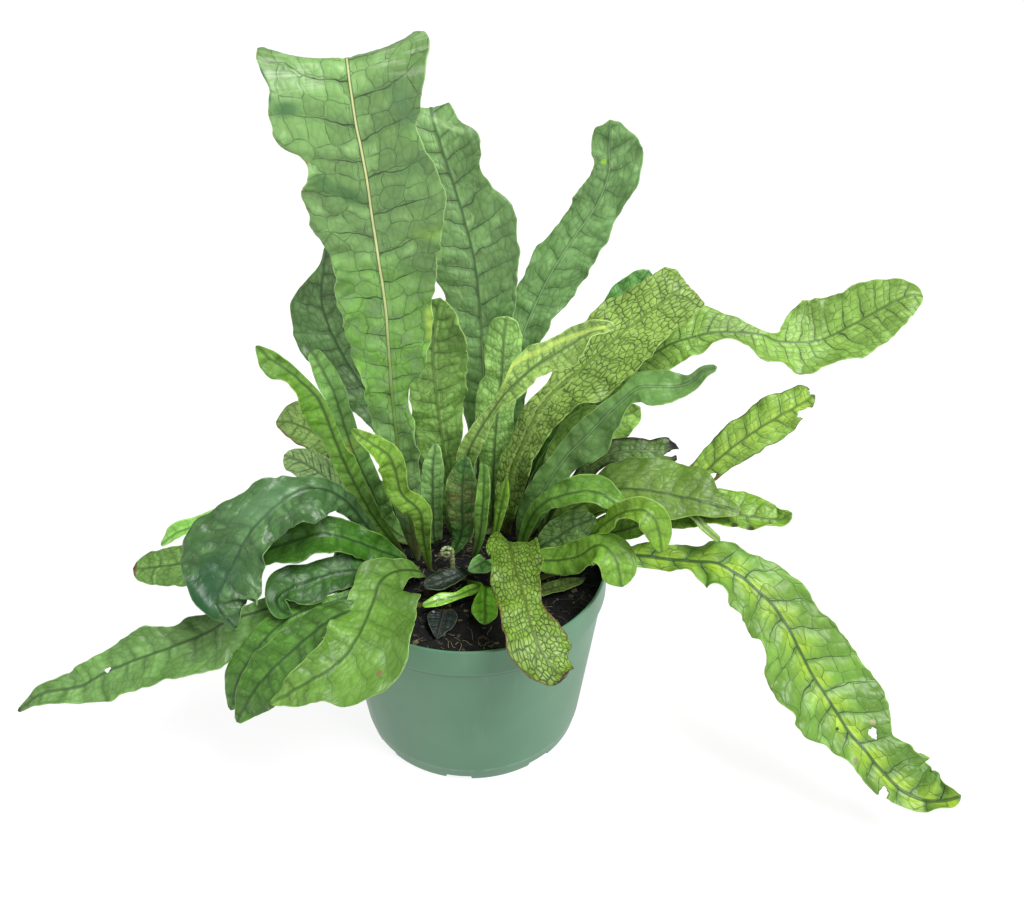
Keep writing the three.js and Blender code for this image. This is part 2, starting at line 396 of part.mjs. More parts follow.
// The potting mix fills the pot up to a little below the rim.
function soilGeometry() {
  const inset = wall + seatGap + soilSlack;
  const bottom = baseThickness + seatGap;
  const profile = [
    [0, bottom], [footRadius - footRound - inset, bottom], [footRadius - inset, footRound + soilSlack],
    [heelRadius - inset, heelHeight + soilSlack], [neckRadius - inset, collarFoot - collarEase * 2],
    [rimRadius - inset - soilSlack, collarFoot + collarEase * 2],
    [rimRadius - inset - soilSlack, soilTop - soilEdgeDrop], [rimRadius - inset - soilEdge, soilTop],
    [0, soilTop]];
  return turned(profile, soilSides);
}

// A young frond still rolled up: an upright stem that ends in a flat spiral
function fiddleheadGeometry(shape) {
  const { foot, height, coilRadius, coilShrink, sideways, turns, thick, thin } = shape;
  const { stemSteps, coilSteps, rings, sides } = shape;
  const [x, y] = foot;
  const points = [];
  for (let step = 0; step < stemSteps; step += 1) {
    points.push(new THREE.Vector3(x + coilRadius, y, soilTop + seatGap + height * step / stemSteps));
  }
  for (let step = 0; step <= coilSteps; step += 1) {
    const share = step / coilSteps;
    const angle = 2 * Math.PI * turns * share;
    const radius = coilRadius * (1 - coilShrink * share);
    points.push(new THREE.Vector3(x + radius * Math.cos(angle), y - sideways * share,
      soilTop + seatGap + height + radius * Math.sin(angle)));
  }
  const path = new THREE.CatmullRomCurve3(points);
  const geometry = new THREE.CylinderGeometry(1, 1, 1, sides, rings);
  const frames = path.computeFrenetFrames(rings);
  const position = geometry.attributes.position;
  for (let index = 0; index < position.count; index += 1) {
    const ring = Math.round((position.getY(index) + 0.5) * rings);
    const radius = THREE.MathUtils.lerp(thick, thin, ring / rings);
    const place = path.getPointAt(ring / rings)
      .addScaledVector(frames.binormals[ring], position.getX(index) * radius)
      .addScaledVector(frames.normals[ring], position.getZ(index) * radius);
    position.setXYZ(index, place.x, place.y, ring === 0 ? soilTop + seatGap : place.z);
  }
  return geometry;
}

const stumpGeometry = ({ at, radius, topRadius, height, sides }) =>
  new THREE.CylinderGeometry(topRadius, radius, height, sides, 1)
    .rotateX(Math.PI / 2)
    .translate(at[0], at[1], soilTop + seatGap + height / 2);

// A flat leaf lying on the potting mix, with a slight wave
function fallenGeometry({ outline, thickness, lift, waveLength }) {
  const shape = new THREE.Shape(outline.map(([x, y]) => new THREE.Vector2(x, y)));
  const geometry = new THREE.ExtrudeGeometry(shape, { depth: thickness, bevelEnabled: false });
  const position = geometry.attributes.position;
  const [startX] = outline[0];
  for (let index = 0; index < position.count; index += 1) {
    const along = 2 * Math.PI * (position.getX(index) - startX) / waveLength;
    const rise = lift * (1 - Math.cos(along)) / 2;
    position.setZ(index, position.getZ(index) + rise + soilTop + seatGap);
  }
  return geometry;
}

const fern = new THREE.Group();
fern.add(piece("nursery_pot", potGeometry(), 0x6b9880, 0.45));
fern.add(piece("potting_mix", soilGeometry(), 0x2a221d, 0.95));
for (const frond of fronds) {
  fern.add(piece(frond.name, frondGeometry(frond), frond.colour, 0.45));
}
fern.add(piece(fiddlehead.name, fiddleheadGeometry(fiddlehead), fiddlehead.colour, 0.5));
fern.add(piece(stump.name, stumpGeometry(stump), stump.colour, 0.8));
for (const leaf of fallenLeaves) {
  fern.add(piece(leaf.name, fallenGeometry(leaf), leaf.colour, 0.8));
}

export default fern;
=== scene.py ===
import math

import bpy
import numpy as np
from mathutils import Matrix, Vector


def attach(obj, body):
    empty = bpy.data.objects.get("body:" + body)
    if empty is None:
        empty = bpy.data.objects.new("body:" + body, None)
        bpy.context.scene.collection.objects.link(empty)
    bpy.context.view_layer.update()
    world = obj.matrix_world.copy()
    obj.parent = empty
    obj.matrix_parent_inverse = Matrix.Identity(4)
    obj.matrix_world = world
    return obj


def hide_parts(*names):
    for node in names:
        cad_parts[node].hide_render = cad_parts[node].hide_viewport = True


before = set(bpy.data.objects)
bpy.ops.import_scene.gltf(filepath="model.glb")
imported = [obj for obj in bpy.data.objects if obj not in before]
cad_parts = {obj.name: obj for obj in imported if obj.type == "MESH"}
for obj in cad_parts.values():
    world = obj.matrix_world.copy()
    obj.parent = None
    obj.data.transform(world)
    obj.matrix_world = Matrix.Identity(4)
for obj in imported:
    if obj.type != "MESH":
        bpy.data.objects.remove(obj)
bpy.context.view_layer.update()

mm = 0.001
print("frame loaded:", len(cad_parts), "nodes")

# The place of the eye that saw the fern. Every frond lies on lines of sight from here.
sight = dict(at=(25.4, -565.3, 574.0), down=33.57, focal=1200.0, middle=(512.0, 448.5), width=1024)
sensorWidth = 36.0

studio = dict(
    floorSize=9.0, floorColour=(0.2, 0.2, 0.2, 1), floorGlow=0.88, sky=(1.0, 1.0, 0.99, 1), skyStrength=0.3,
    # one broad overhead light, then two soft boxes: name, place, width, watts
    overStrength=3.0, overSpread=28.0, overTilt=(14.0, 24.0, 0.0), aim=(0, 0, 0.15),
    boxes=[("right_softbox", (1.0, -0.9, 1.3), 0.7, 9.0), ("left_softbox", (-1.3, -0.7, 1.1), 0.7, 5.0)])


# Puts a lamp or a camera into the scene
def placed(name, data, place, turn):
    thing = bpy.data.objects.new(name, data)
    thing.location, thing.rotation_euler = place, turn
    bpy.context.scene.collection.objects.link(thing)
    return thing


def makeStudio():
    scene = bpy.context.scene
    scene.view_settings.view_transform = "Standard"
    scene.world = bpy.data.worlds.new("pale_room")
    scene.world.use_nodes = True
    sky = scene.world.node_tree.nodes["Background"]
    sky.inputs["Color"].default_value = studio["sky"]
    sky.inputs["Strength"].default_value = studio["skyStrength"]
    lens = bpy.data.cameras.new("photo_camera")
    lens.sensor_width, lens.clip_start = sensorWidth, 0.02
    lens.lens = sight["focal"] * sensorWidth / sight["width"]
    scene.camera = placed("photo_camera", lens, [value * mm for value in sight["at"]],
                          (math.radians(90 - sight["down"]), 0, 0))
    sun = bpy.data.lights.new("overhead_light", "SUN")
    sun.energy, sun.angle = studio["overStrength"], math.radians(studio["overSpread"])
    placed("overhead_light", sun, (0, 0, 0), [math.radians(angle) for angle in studio["overTilt"]])
    for name, place, width, watts in studio["boxes"]:
        light = bpy.data.lights.new(name, "AREA")
        light.size, light.energy = width, watts
        turn = (Vector(place) - Vector(studio["aim"])).to_track_quat("Z", "Y").to_euler()
        placed(name, light, place, turn)


class Wire:
    # A socket, or a place to make nodes from; sums with a wire add Math nodes
    def __init__(self, tree, socket=None):
        self.tree = tree
        self.socket = socket

    def node(self, kind, settings=None, inputs=None, output=0):
        made = self.tree.nodes.new(kind)
        for name, value in (settings or {}).items():
            setattr(made, name, value)
        for name, value in (inputs or {}).items():
            if isinstance(value, Wire):
                self.tree.links.new(value.socket, made.inputs[name])
            else:
                made.inputs[name].default_value = value
        return Wire(self.tree, made.outputs[output] if made.outputs else None)

    def math(self, operation, *values):
        return self.node("ShaderNodeMath", {"operation": operation}, dict(enumerate(values)))

    def __add__(self, other):
        return self.math("ADD", self, other)

    def __radd__(self, other):
        return self.math("ADD", other, self)

    def __sub__(self, other):
        return self.math("SUBTRACT", self, other)

    def __rsub__(self, other):
        return self.math("SUBTRACT", other, self)

    def __mul__(self, other):
        return self.math("MULTIPLY", self, other)

    def __rmul__(self, other):
        return self.math("MULTIPLY", other, self)

    def __truediv__(self, other):
        return self.math("DIVIDE", self, other)

    def __rtruediv__(self, other):
        return self.math("DIVIDE", other, self)

    def __abs__(self):
        return self.math("ABSOLUTE", self)

    def split(self):
        apart = self.node("ShaderNodeSeparateXYZ", {}, {0: self}).socket.node
        return [Wire(self.tree, socket) for socket in apart.outputs]

    def joined(self, *values):
        return self.node("ShaderNodeCombineXYZ", {}, dict(enumerate(values)))

    def stretched(self, factor, shift=(0.0, 0.0, 0.0)):
        return self.node("ShaderNodeVectorMath", {"operation": "MULTIPLY_ADD"},
                         {0: self, 1: factor, 2: shift})

    def distance(self, other):
        return self.node("ShaderNodeVectorMath", {"operation": "DISTANCE"}, {0: self, 1: other}, 1)

    # 0 where this is at or below low, 1 at or above high, smooth between them; fall is the other way round
    def step(self, low, high, atLow=0.0, atHigh=1.0):
        return self.node("ShaderNodeMapRange", {"interpolation_type": "SMOOTHSTEP"},
                         {0: self, 1: low, 2: high, 3: atLow, 4: atHigh})

    def fall(self, low, high, atLow=1.0):
        return self.step(low, high, atLow, 0.0)

    def noise(self, scale, detail=2.0, rough=0.5, output=0):
        return self.node("ShaderNodeTexNoise", {"noise_dimensions": "3D"},
                         {"Vector": self, "Scale": scale, "Detail": detail, "Roughness": rough}, output)

    # Cells, in space where they are fully jittered and else in a plane: a tone for each cell
    def cells(self, size, jitter=1.0, kind="F1"):
        space = "3D" if jitter == 1 else "2D"
        made = self.node("ShaderNodeTexVoronoi", {"voronoi_dimensions": space, "feature": kind},
                         {"Vector": self, "Scale": 1 / size, "Randomness": jitter}, 1 if kind == "F1" else 0)
        return made.split()[0] if kind == "F1" else made

    # The distance to the nearest edge of such cells
    def edges(self, size, jitter=0.9):
        return self.cells(size, jitter, "DISTANCE_TO_EDGE")

    # One colour where the mask is 0 and another where it is 1; plain colours are sRGB
    def blend(self, mask, first, second):
        first, second = (value if isinstance(value, Wire) else linear(value) for value in (first, second))
        return self.node("ShaderNodeMix", {"data_type": "RGBA"}, {0: mask, 6: first, 7: second}, 2)

    def towards(self, other, mask):
        return self.blend(mask, self, other)


def linear(colour):
    shares = [value / 255 for value in colour]
    return (*[s / 12.92 if s <= 0.04045 else ((s + 0.055) / 1.055) ** 2.4 for s in shares], 1.0)


def mixed(first, second, share):
    return tuple(a + (b - a) * share for a, b in zip(first, second))


# A new finish: a wire to build it with, and the place on the piece in its own coordinates
def newFinish(name):
    finish = bpy.data.materials.new(name)
    finish.use_nodes = True
    finish.node_tree.nodes.clear()
    wire = Wire(finish.node_tree)
    wire.finish = finish
    return wire, wire.node("ShaderNodeTexCoord", {}, {}, 3)


# The Principled shader at the end of a finish; gloss and more are set on its own sockets
def endFinish(wire, colour, rough, gloss, height=None, bump=0.5, depth=0.5, more=None):
    inputs = {"Base Color": colour, "Roughness": rough, "Specular IOR Level": gloss, **(more or {})}
    if height is not None:
        inputs["Normal"] = wire.node("ShaderNodeBump", {}, {"Height": height, "Strength": bump,
                                                            "Distance": depth * mm})
    shader = wire.node("ShaderNodeBsdfPrincipled", {}, inputs)
    wire.node("ShaderNodeOutputMaterial", {}, {"Surface": shader})
    return wire.finish


def newPiece(name, points, faces, finish=None, smooth=True):
    mesh = bpy.data.meshes.new(name)
    mesh.from_pydata(np.asarray(points).tolist(), [], [list(map(int, face)) for face in faces])
    mesh.polygons.foreach_set("use_smooth", [smooth] * len(mesh.polygons))
    if finish:
        mesh.materials.append(finish)
    mesh.update()
    piece = bpy.data.objects.new(name, mesh)
    bpy.context.scene.collection.objects.link(piece)
    return piece


# Keeps a blade's own coordinates on its mesh, for the relief and the colours
def setFields(mesh, *fields):
    for name, values in zip(fieldNames, fields):
        field = mesh.attributes.new(name, "FLOAT_VECTOR", "POINT")
        field.data.foreach_set("vector", np.asarray(values, np.float32).ravel())


# Three numbers for each point of a mesh
def readRows(data, key):
    values = np.zeros(len(data) * 3, np.float32)
    data.foreach_get(key, values)
    return values.reshape(-1, 3).astype(float)


# A Geometry Nodes tree whose inputs have these names and values; the last input is the finish
def newTree(name, inputs):
    tree = bpy.data.node_groups.new(name, "GeometryNodeTree")
    tree.interface.new_socket("Geometry", in_out="INPUT", socket_type="NodeSocketGeometry")
    tree.interface.new_socket("Geometry", in_out="OUTPUT", socket_type="NodeSocketGeometry")
    for label, value in inputs.items():
        kind = "NodeSocketInt" if isinstance(value, int) else "NodeSocketFloat"
        tree.interface.new_socket(label, in_out="INPUT", socket_type=kind).default_value = value
    tree.interface.new_socket("finish", in_out="INPUT", socket_type="NodeSocketMaterial")
    entry = tree.nodes.new("NodeGroupInput")
    return Wire(tree), {socket.name: Wire(tree, socket) for socket in entry.outputs if socket.name}


def endTree(wire, shape, given):
    real = wire.node("GeometryNodeRealizeInstances", {}, {0: shape})
    painted = wire.node("GeometryNodeSetMaterial", {}, {0: real, "Material": given["finish"]})
    wire.node("NodeGroupOutput", {}, {0: painted})
    return wire.tree


# A random number or vector for each instance, between low and high
def randomly(wire, low, high, seed):
    kind, first, output = ("FLOAT_VECTOR", 0, 0) if isinstance(low, tuple) else ("FLOAT", 2, 1)
    return wire.node("FunctionNodeRandomValue", {"data_type": kind},
                     {first: low, first + 1: high, "Seed": seed}, output)


# Strews a thing over the surface, each one turned and sized at random. shape: its size along X, Y and Z
def strewn(wire, given, thing, turns, sizes, shape):
    seed = given["seed"]
    spread = wire.node("GeometryNodeDistributePointsOnFaces", {}, {
        0: given["Geometry"], "Density": given["per square cm"] * 10000, "Seed": seed})
    size = randomly(wire, *sizes, seed + 1) * given["size"] * mm
    return wire.node("GeometryNodeInstanceOnPoints", {}, {
        0: spread, "Instance": thing, "Rotation": randomly(wire, *turns, seed),
        "Scale": wire.joined(*[size * part for part in shape])})


# Bends strewn things by a noise. reach: how many mm along X, Y and Z, lift: how far up at least
def dented(wire, shape, scale, reach, lift=0.0):
    real = wire.node("GeometryNodeRealizeInstances", {}, {0: shape})
    x, y, z = (value * mm for value in reach)
    shift = (-x / 2, -y / 2, -z / 2 + lift * mm)
    push = wire.node("GeometryNodeInputPosition").noise(scale, 1.0, output=1).stretched((x, y, z), shift)
    return wire.node("GeometryNodeSetPosition", {}, {0: real, "Offset": push})


# The mesh that a piece has after its modifier, which is removed
def plainMesh(piece, step):
    mesh = bpy.data.meshes.new_from_object(piece.evaluated_get(bpy.context.evaluated_depsgraph_get()))
    piece.modifiers.remove(step)
    return mesh


# Runs a tree on a piece with these inputs and returns the result as a plain mesh
def grown(piece, tree, values):
    step = piece.modifiers.new(tree.name, "NODES")
    step.node_group = tree
    keys = {item.name: item.identifier for item in tree.interface.items_tree
            if item.item_type == "SOCKET" and item.in_out == "INPUT"}
    for name, value in values.items():
        step[keys[name]] = value
    return plainMesh(piece, step)


def wearMesh(piece, mesh):
    old = piece.data
    piece.data = mesh
    mesh.name = piece.name
    bpy.data.meshes.remove(old)


def settle(piece, slot, *nodes):
    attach(piece, "root")
    if nodes:
        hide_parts(*nodes)


# Uniform Catmull-Rom through rows of numbers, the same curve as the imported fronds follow
def curveThrough(rows, share):
    rows = np.asarray(rows, float)
    spans = len(rows) - 1
    place = np.clip(share, 0, 1) * spans
    first = np.minimum(place.astype(int), spans - 1)
    rest = (place - first)[:, None]
    longer = np.vstack([2 * rows[0] - rows[1], rows, 2 * rows[-1] - rows[-2]])
    before, start, end, after = (longer[first + step] for step in range(4))
    leave, arrive = (end - before) / 2, (after - start) / 2
    return ((2 * start - 2 * end + leave + arrive) * rest ** 3
            + (3 * end - 3 * start - 2 * leave - arrive) * rest ** 2 + leave * rest + start)


def unit(vectors):
    return vectors / np.linalg.norm(vectors, axis=-1, keepdims=True)


def lengthAlong(points):
    return np.concatenate([[0], np.cumsum(np.linalg.norm(np.diff(points, axis=0), axis=1))])


def gridFaces(rows, columns, closed=False):
    across = np.arange(columns if closed else columns - 1)
    along = np.arange(rows - 1)
    first = (along[:, None] * columns + across[None]).ravel()
    second = (along[:, None] * columns + (across[None] + 1) % columns).ravel()
    return np.stack([first, second, second + columns, first + columns], 1)


# A tube of rings, closed by a fan at each end to one of the two points that follow the rings
def tubeFaces(rings, sides):
    faces = gridFaces(rings, sides, closed=True).tolist()
    start, last = rings * sides, (rings - 1) * sides
    for index in range(sides):
        after = (index + 1) % sides
        faces += [(start, after, index), (last + index, last + after, start + 1)]
    return faces


makeStudio()
print("studio ready")

# Leaf colours are sRGB, lengths in mm. gap: between side veins, slope: how far they lean to the tip,
# lines: their strength, net: strength and width of the fine net, bulge: height of the crinkles,
# margin: colour, width, strength. tip: colour, length. patch: colour, share along, reach, strength.
# sheen: share along, reach, strength. glow: colour, reach and strength beside the midrib.
# bands: from and to (across, along), width, colour, strength; most are painted shade in hollows and
# painted highlights on folds, a few are stripes of the leaf's own. spots: across, along, reach, colour.
# holes: across, along and the two reaches. The mottle strength sets the random patchwork of tones and
# the painted highlights and shade between the side veins; depth sets the painted shade deep in the crown.
leafLook = dict(
    green=(86, 146, 66), second=None, light=None, vein=None, rib=None, ribLow=None, under=None, gap=16.0,
    slope=0.3, lines=0.7, net=(0.25, 3.6), netLength=1.5, bulge=0.8, pucker=0.14, frill=1.2, frillEnd=2.0,
    rough=0.42, ribLine=0.7, flank=0.5, margin=None, marginFrom=-1.0, tip=None, spots=(), holes=(),
    gloss=0.36, mottleAndShade=0.6, patch=None, scallop=0.5, depth=0.4, boxes=0.7, bands=(), sheen=None,
    glow=(None, 11.0, 0.35))
lowLook = dict(lines=0.32, mottleAndShade=0.35, bulge=0.5)
innerLook = dict(lines=0.45, mottleAndShade=0.45, depth=0.15)
youngLook = dict(bulge=0.2, frill=0.4, gloss=0.8, rough=0.3)

# Each frond from foot to tip. foot: where it leaves the potting mix. A route row holds the line of
# sight's column and row, the distance behind the pot's axis and the half widths to the left and right
# of the midrib. lean: how far the face tips to the sky. cup: how far the edges rise at the foot and at
# the tip. ruffle: height and number of the edge waves. curl: the row from which the tip rolls.
fronds = [
    dict(name="tall_front_frond", slot="frond_mid_green", foot=(-33, 13), lean=0.25, cup=(0.12, 0.26),
         ruffle=(2.2, 7), curl=11, route=[(411, 522, 12, 7, 7), (401, 473, 12, 10, 11),
         (396, 430, 11, 13, 12), (392, 392, 9, 15, 9), (390, 366, 7, 18, 19), (386, 312, 4, 24, 25),
         (379, 262, 1, 23, 30), (372, 216, -2, 30, 36), (367, 180, -4, 31, 36), (361, 148, -5, 27, 29),
         (356, 124, -5, 38, 29), (350, 84, -4, 38, 36), (347, 60, 4, 40, 38), (347, 62, 18, 35, 33),
         (350, 84, 28, 24, 22), (352, 98, 31, 8, 8)], look=dict(green=(125, 169, 96), slope=0.24, lines=0.9,
         ribLine=1.2, gloss=0.4, rib=(214, 218, 150), glow=(None, 9.0, 0.3), bulge=1.3, frillEnd=0.74,
         gap=20.0, frill=1.7, spots=((-26.7, 266.5, 1.2, (150, 122, 92)),), sheen=(0.87, 0.05, 0.25),
         patch=((115, 176, 56), 0.42, 0.24, 0.7), ribLow=(112, 146, 64), boxes=0.65, flank=0.8,
         bands=(((-40, 308), (-37.5, 296), 2.2, (52, 98, 62), 0.8),
         ((-36, 293), (-25, 291.6), 5, (58, 108, 62), 0.75),
         ((-26.5, 258), (-3.8, 239.4), 5.5, (64, 112, 58), 0.65),
         ((20.6, 296.9), (26.2, 276.6), 8, (92, 132, 88), 0.55),
         ((20, 221), (33, 223.5), 6, (140, 182, 66), 0.35),
         ((23, 178), (23, 160), 3.2, (186, 212, 80), 0.5),
         ((-17.3, 204), (-16.9, 191), 6, (80, 126, 50), 0.5), ((10, 246), (28, 262), 6, (84, 126, 70), 0.4),
         ((8, 205), (24, 196), 5, (76, 122, 52), 0.45)), mottleAndShade=0.85, net=(0.17, 4.0))),
    dict(name="tall_middle_frond", slot="frond_deep_green", foot=(0, 46), lean=0.2, cup=(0.12, 0.2),
         ruffle=(1.6, 6), curl=9, route=[(486, 500, 44, 7, 7), (486, 440, 49, 11, 11),
         (484, 390, 54, 14, 14), (482, 339, 60, 16, 18.5), (476, 271, 67, 22.5, 24.5),
         (466, 226, 71, 24.5, 28), (453, 183, 74, 24, 17.5), (443, 152, 75, 22, 21),
         (435, 126, 78, 19, 13.5), (431, 108, 86, 12.5, 9.5), (432, 116, 96, 5, 5)],
         look=dict(green=(117, 158, 93), bulge=1.1, gap=14.0,
         bands=(((0, 262), (14, 250), 2.4, (150, 186, 122), 0.7),), boxes=0.4, ribLow=(150, 170, 110),
         lines=0.75, mottleAndShade=1.0, net=(0.19, 4.0))),
    dict(name="tall_right_frond", slot="frond_deep_green", foot=(12, 50), lean=0.2, ruffle=(1.2, 6),
         route=[(503, 500, 52, 7, 7), (505, 440, 58, 9, 9), (511, 385, 65, 10, 10), (523, 335, 73, 13, 12),
         (548, 279, 82, 14.5, 17.5), (573, 239, 88, 12.5, 18.5), (597, 205, 92, 13.5, 14.5),
         (609, 172, 94, 9.5, 18), (609, 150, 94, 9.5, 18), (610, 132, 92, 8.5, 10.5), (610, 120, 90, 2, 3)],
         look=dict(green=(119, 164, 95), gap=13.0, bulge=0.6, lines=0.5, boxes=0.3, rib=(150, 186, 130),
         ribLine=0.5, flank=0.4, spots=((-3.6, 244.5, 2, (150, 200, 60)),), mottleAndShade=0.75, net=(0.3, 3.4),
         netLength=2.2)),
    dict(name="back_left_dark_frond", slot="frond_deep_green", foot=(-18, 52), lean=0.2, ruffle=(1, 4),
         route=[(430, 480, 56, 7, 7), (398, 430, 65, 11, 11), (360, 382, 75, 17, 17),
         (334, 338, 84, 21.5, 22.5), (322, 304, 91, 18.5, 22.5), (322, 284, 93, 10.5, 18.5),
         (324, 266, 95, 3, 13.5), (328, 246, 96, 2, 3)], look=dict(green=(90, 127, 72), gap=13.0, bulge=0.7,
         lines=0.6, boxes=0.5, mottleAndShade=0.9, net=(0.38, 4.0))),
    dict(name="second_centre_frond", slot="frond_mid_green", foot=(-12, 38), lean=0.2, ruffle=(1.4, 5),
         route=[(452, 510, 36, 7, 6), (447, 470, 35, 11, 9), (442, 438, 34, 15, 12), (437, 400, 33, 16, 16),
         (433, 354, 32, 13, 20), (436, 320, 31, 10, 17), (440, 298, 30, 3, 4)],
         look=dict(innerLook, green=(131, 177, 83), gap=12.0, lines=0.6, rib=(112, 142, 70), mottleAndShade=0.7,
         net=(0.3, 4.0))),
    dict(name="left_olive_frond", slot="frond_olive_netted", foot=(-46, 34), lean=0.6, ruffle=(0.8, 3),
         route=[(386, 525, 38, 3, 3), (358, 480, 48, 6, 6), (332, 445, 58, 9, 12.5),
         (312, 431, 64, 11.5, 17.5), (292, 423, 70, 9.5, 14.5), (276, 422, 74, 2, 3)],
         look=dict(green=(138, 175, 86), gap=10.0, margin=((110, 84, 60), 1.6, 0.7),
         spots=((-5.1, 68.7, 3.2, (92, 62, 66)), (-1, 60, 2.4, (98, 66, 60))), net=(0.38, 3.3))),
    dict(name="left_veined_frond", slot="frond_olive_netted", foot=(-53, 24), lean=0.6, ruffle=(0.6, 3),
         route=[(370, 532, 25, 3, 3), (350, 500, 30, 7, 7), (325, 477, 36, 10, 10), (302, 462, 42, 9, 9),
         (284, 455, 46, 5, 5)], look=dict(green=(155, 193, 117), depth=0.15, gap=7.0, slope=0.9, lines=0.95,
         net=(0.11, 3.3))),
    dict(name="left_bright_frond", slot="frond_bright_green", foot=(-42, 17), lean=0.4, cup=(0.15, 0.15),
         ruffle=(0.8, 4), route=[(376, 520, 14, 5, 5), (352, 478, 12, 6, 6), (337, 444, 11, 7, 4),
         (326, 415, 10, 11, 3), (316, 396, 9, 12, 3), (292, 374, 8, 8, 4), (272, 360, 7, 9, 5),
         (256, 346, 6, 1, 1)], look=dict(green=(108, 160, 52), gap=11.0, lines=0.45, mottleAndShade=0.45,
         net=(0.15, 3.3))),
    dict(name="left_inner_frond", slot="frond_mid_green", foot=(-36, 28), lean=0.4, cup=(0.12, 0.12),
         ruffle=(0.8, 4), route=[(388, 525, 25, 7, 7), (370, 487, 23, 8, 8), (352, 448, 22, 8, 8),
         (340, 410, 21, 6, 7), (333, 390, 20, 7, 7), (321, 367, 19, 6, 6), (311, 351, 18, 3, 4)],
         look=dict(innerLook, green=(139, 195, 99), gap=11.0, gloss=0.35,
         patch=((255, 255, 99), 0.55, 0.08, 0.3), net=(0.19, 3.3))),
    dict(name="folded_light_frond", slot="frond_bright_green", foot=(-25, 5), lean=0.3, cup=(0.2, 0.2),
         ruffle=(0.5, 3), route=[(424, 540, 2, 4, 4), (420, 512, 0, 6, 6), (402, 494, -1, 7, 5),
         (396, 472, -2, 9, 6), (388, 455, -3, 9, 6), (366, 440, -4, 5, 5), (351, 429, -5, 1, 1)],
         look=dict(green=(119, 166, 51), gap=9.0, lines=0.45, mottleAndShade=0.45, net=(0.22, 3.0))),
    dict(name="grey_centre_frond", slot="frond_blue_green", foot=(-22, 28), lean=0.2, ruffle=(0.4, 3),
         route=[(434, 535, 24, 5, 5), (433, 500, 22, 7, 6), (433, 468, 21, 6.5, 6), (435, 450, 21, 3, 4),
         (436, 443, 21, 1, 1)], look=dict(innerLook, green=(152, 205, 116), gap=9.0, net=(0.22, 3.0))),
    dict(name="round_tip_frond", slot="frond_mid_green", foot=(6, 39), lean=0.2, ruffle=(0.6, 4),
         route=[(492, 520, 38, 7, 7), (493, 480, 40, 8, 9), (496, 430, 41, 11, 10), (499, 395, 42, 13, 9),
         (502, 375, 42, 10, 10), (504, 340, 42, 10, 9.5), (507, 316, 42, 5, 6)],
         look=dict(innerLook, green=(160, 212, 110), gap=10.0, net=(0.45, 3.0))),
    dict(name="twisted_pale_frond", slot="frond_bright_green", foot=(-4, 30), lean=0.5, cup=(0.35, 0.35),
         ruffle=(0.6, 3), route=[(468, 530, 28, 4, 4), (467, 490, 26, 5, 5), (468, 455, 21, 6, 6),
         (480, 430, 17, 5, 5), (495, 408, 14, 3.5, 4.5), (510, 389, 11, 5, 9), (524, 375, 10, 9, 8),
         (541, 363, 9, 9.5, 6.5), (560, 351, 8, 8, 9), (582, 338, 7, 7.5, 10), (600, 330, 6, 6, 4.5),
         (616, 327, 6, 2, 1)], look=dict(green=(155, 195, 96), gap=8.0,
         bands=(((-8.9, 140), (-0.4, 198), 1.8, (198, 222, 108), 0.75),
         ((-8, 142), (-2.7, 127), 1.4, (198, 222, 108), 0.55),
         ((1.4, 131.7), (-2, 166), 1.2, (78, 110, 50), 0.7)), lines=0.55, net=(0.45, 3.0))),
    dict(name="netted_right_frond", slot="frond_olive_netted", foot=(23, 38), lean=0.4, cup=(0.1, 0.2),
         ruffle=(1.2, 5), route=[(504, 515, 33, 6, 7), (512, 471, 32, 8, 11), (522, 447, 32, 8, 11),
         (536, 416, 33, 9, 13), (555, 391, 35, 7, 17), (579, 371, 38, 16, 21.5), (607, 346, 42, 19.5, 22.5),
         (630, 327, 46, 19.5, 20.5), (655, 309, 50, 17.5, 18.5), (677, 292, 54, 15.5, 16.5),
         (688, 285, 60, 12.5, 13.5), (690, 288, 68, 6, 6)], look=dict(green=(138, 174, 76),
         rib=(113, 151, 59), gap=14.0, lines=0.6, pucker=0.15, bulge=0.4,
         bands=(((2.2, 45), (2.2, 130), 0.8, (170, 192, 108), 0.6),
         ((-2.2, 45), (-2.2, 130), 0.8, (170, 192, 108), 0.6)), vein=(40, 66, 26), net=(0.8, 2.4),
         netLength=2.0)),
    dict(name="hidden_back_frond", slot="frond_deep_green", foot=(26, 54), lean=0.3, ruffle=(0.6, 4),
         route=[(528, 480, 61, 7, 7), (560, 410, 73, 10, 10), (597, 348, 88, 12.5, 12.5),
         (628, 302, 100, 12.5, 11.5), (643, 280, 106, 8.5, 7.5), (649, 270, 109, 3, 3)],
         look=dict(green=(96, 155, 74), gap=12.0, net=(0.3, 3.6))),
    dict(name="long_right_frond", slot="frond_bright_green", foot=(38, 46), lean=0.7, ruffle=(1.4, 6),
         route=[(535, 500, 47, 8, 8), (570, 440, 52, 10, 10), (615, 385, 57, 14, 14),
         (660, 350, 60, 17.5, 14), (702, 335, 62, 17.5, 10.5), (732, 333, 63, 11.5, 8.5),
         (762, 335, 64, 3, 17.5), (776, 341, 65, 6.5, 19), (795, 343, 66, 22, 21), (820, 340, 67, 25.5, 20),
         (846, 328, 68, 22.5, 22.5), (870, 315, 69, 20.5, 19), (894, 302, 70, 15, 16),
         (912, 296, 71, 8.5, 9.5), (923, 297, 72, 2, 2)], look=dict(green=(135, 178, 78), lines=0.8,
         glow=(None, 12.0, 0.25), gap=9.5, bulge=0.5, boxes=0.6, net=(0.22, 3.6))),
    dict(name="hook_tip_frond", slot="frond_blue_green", foot=(30, 24), lean=0.5, cup=(0.15, 0.15),
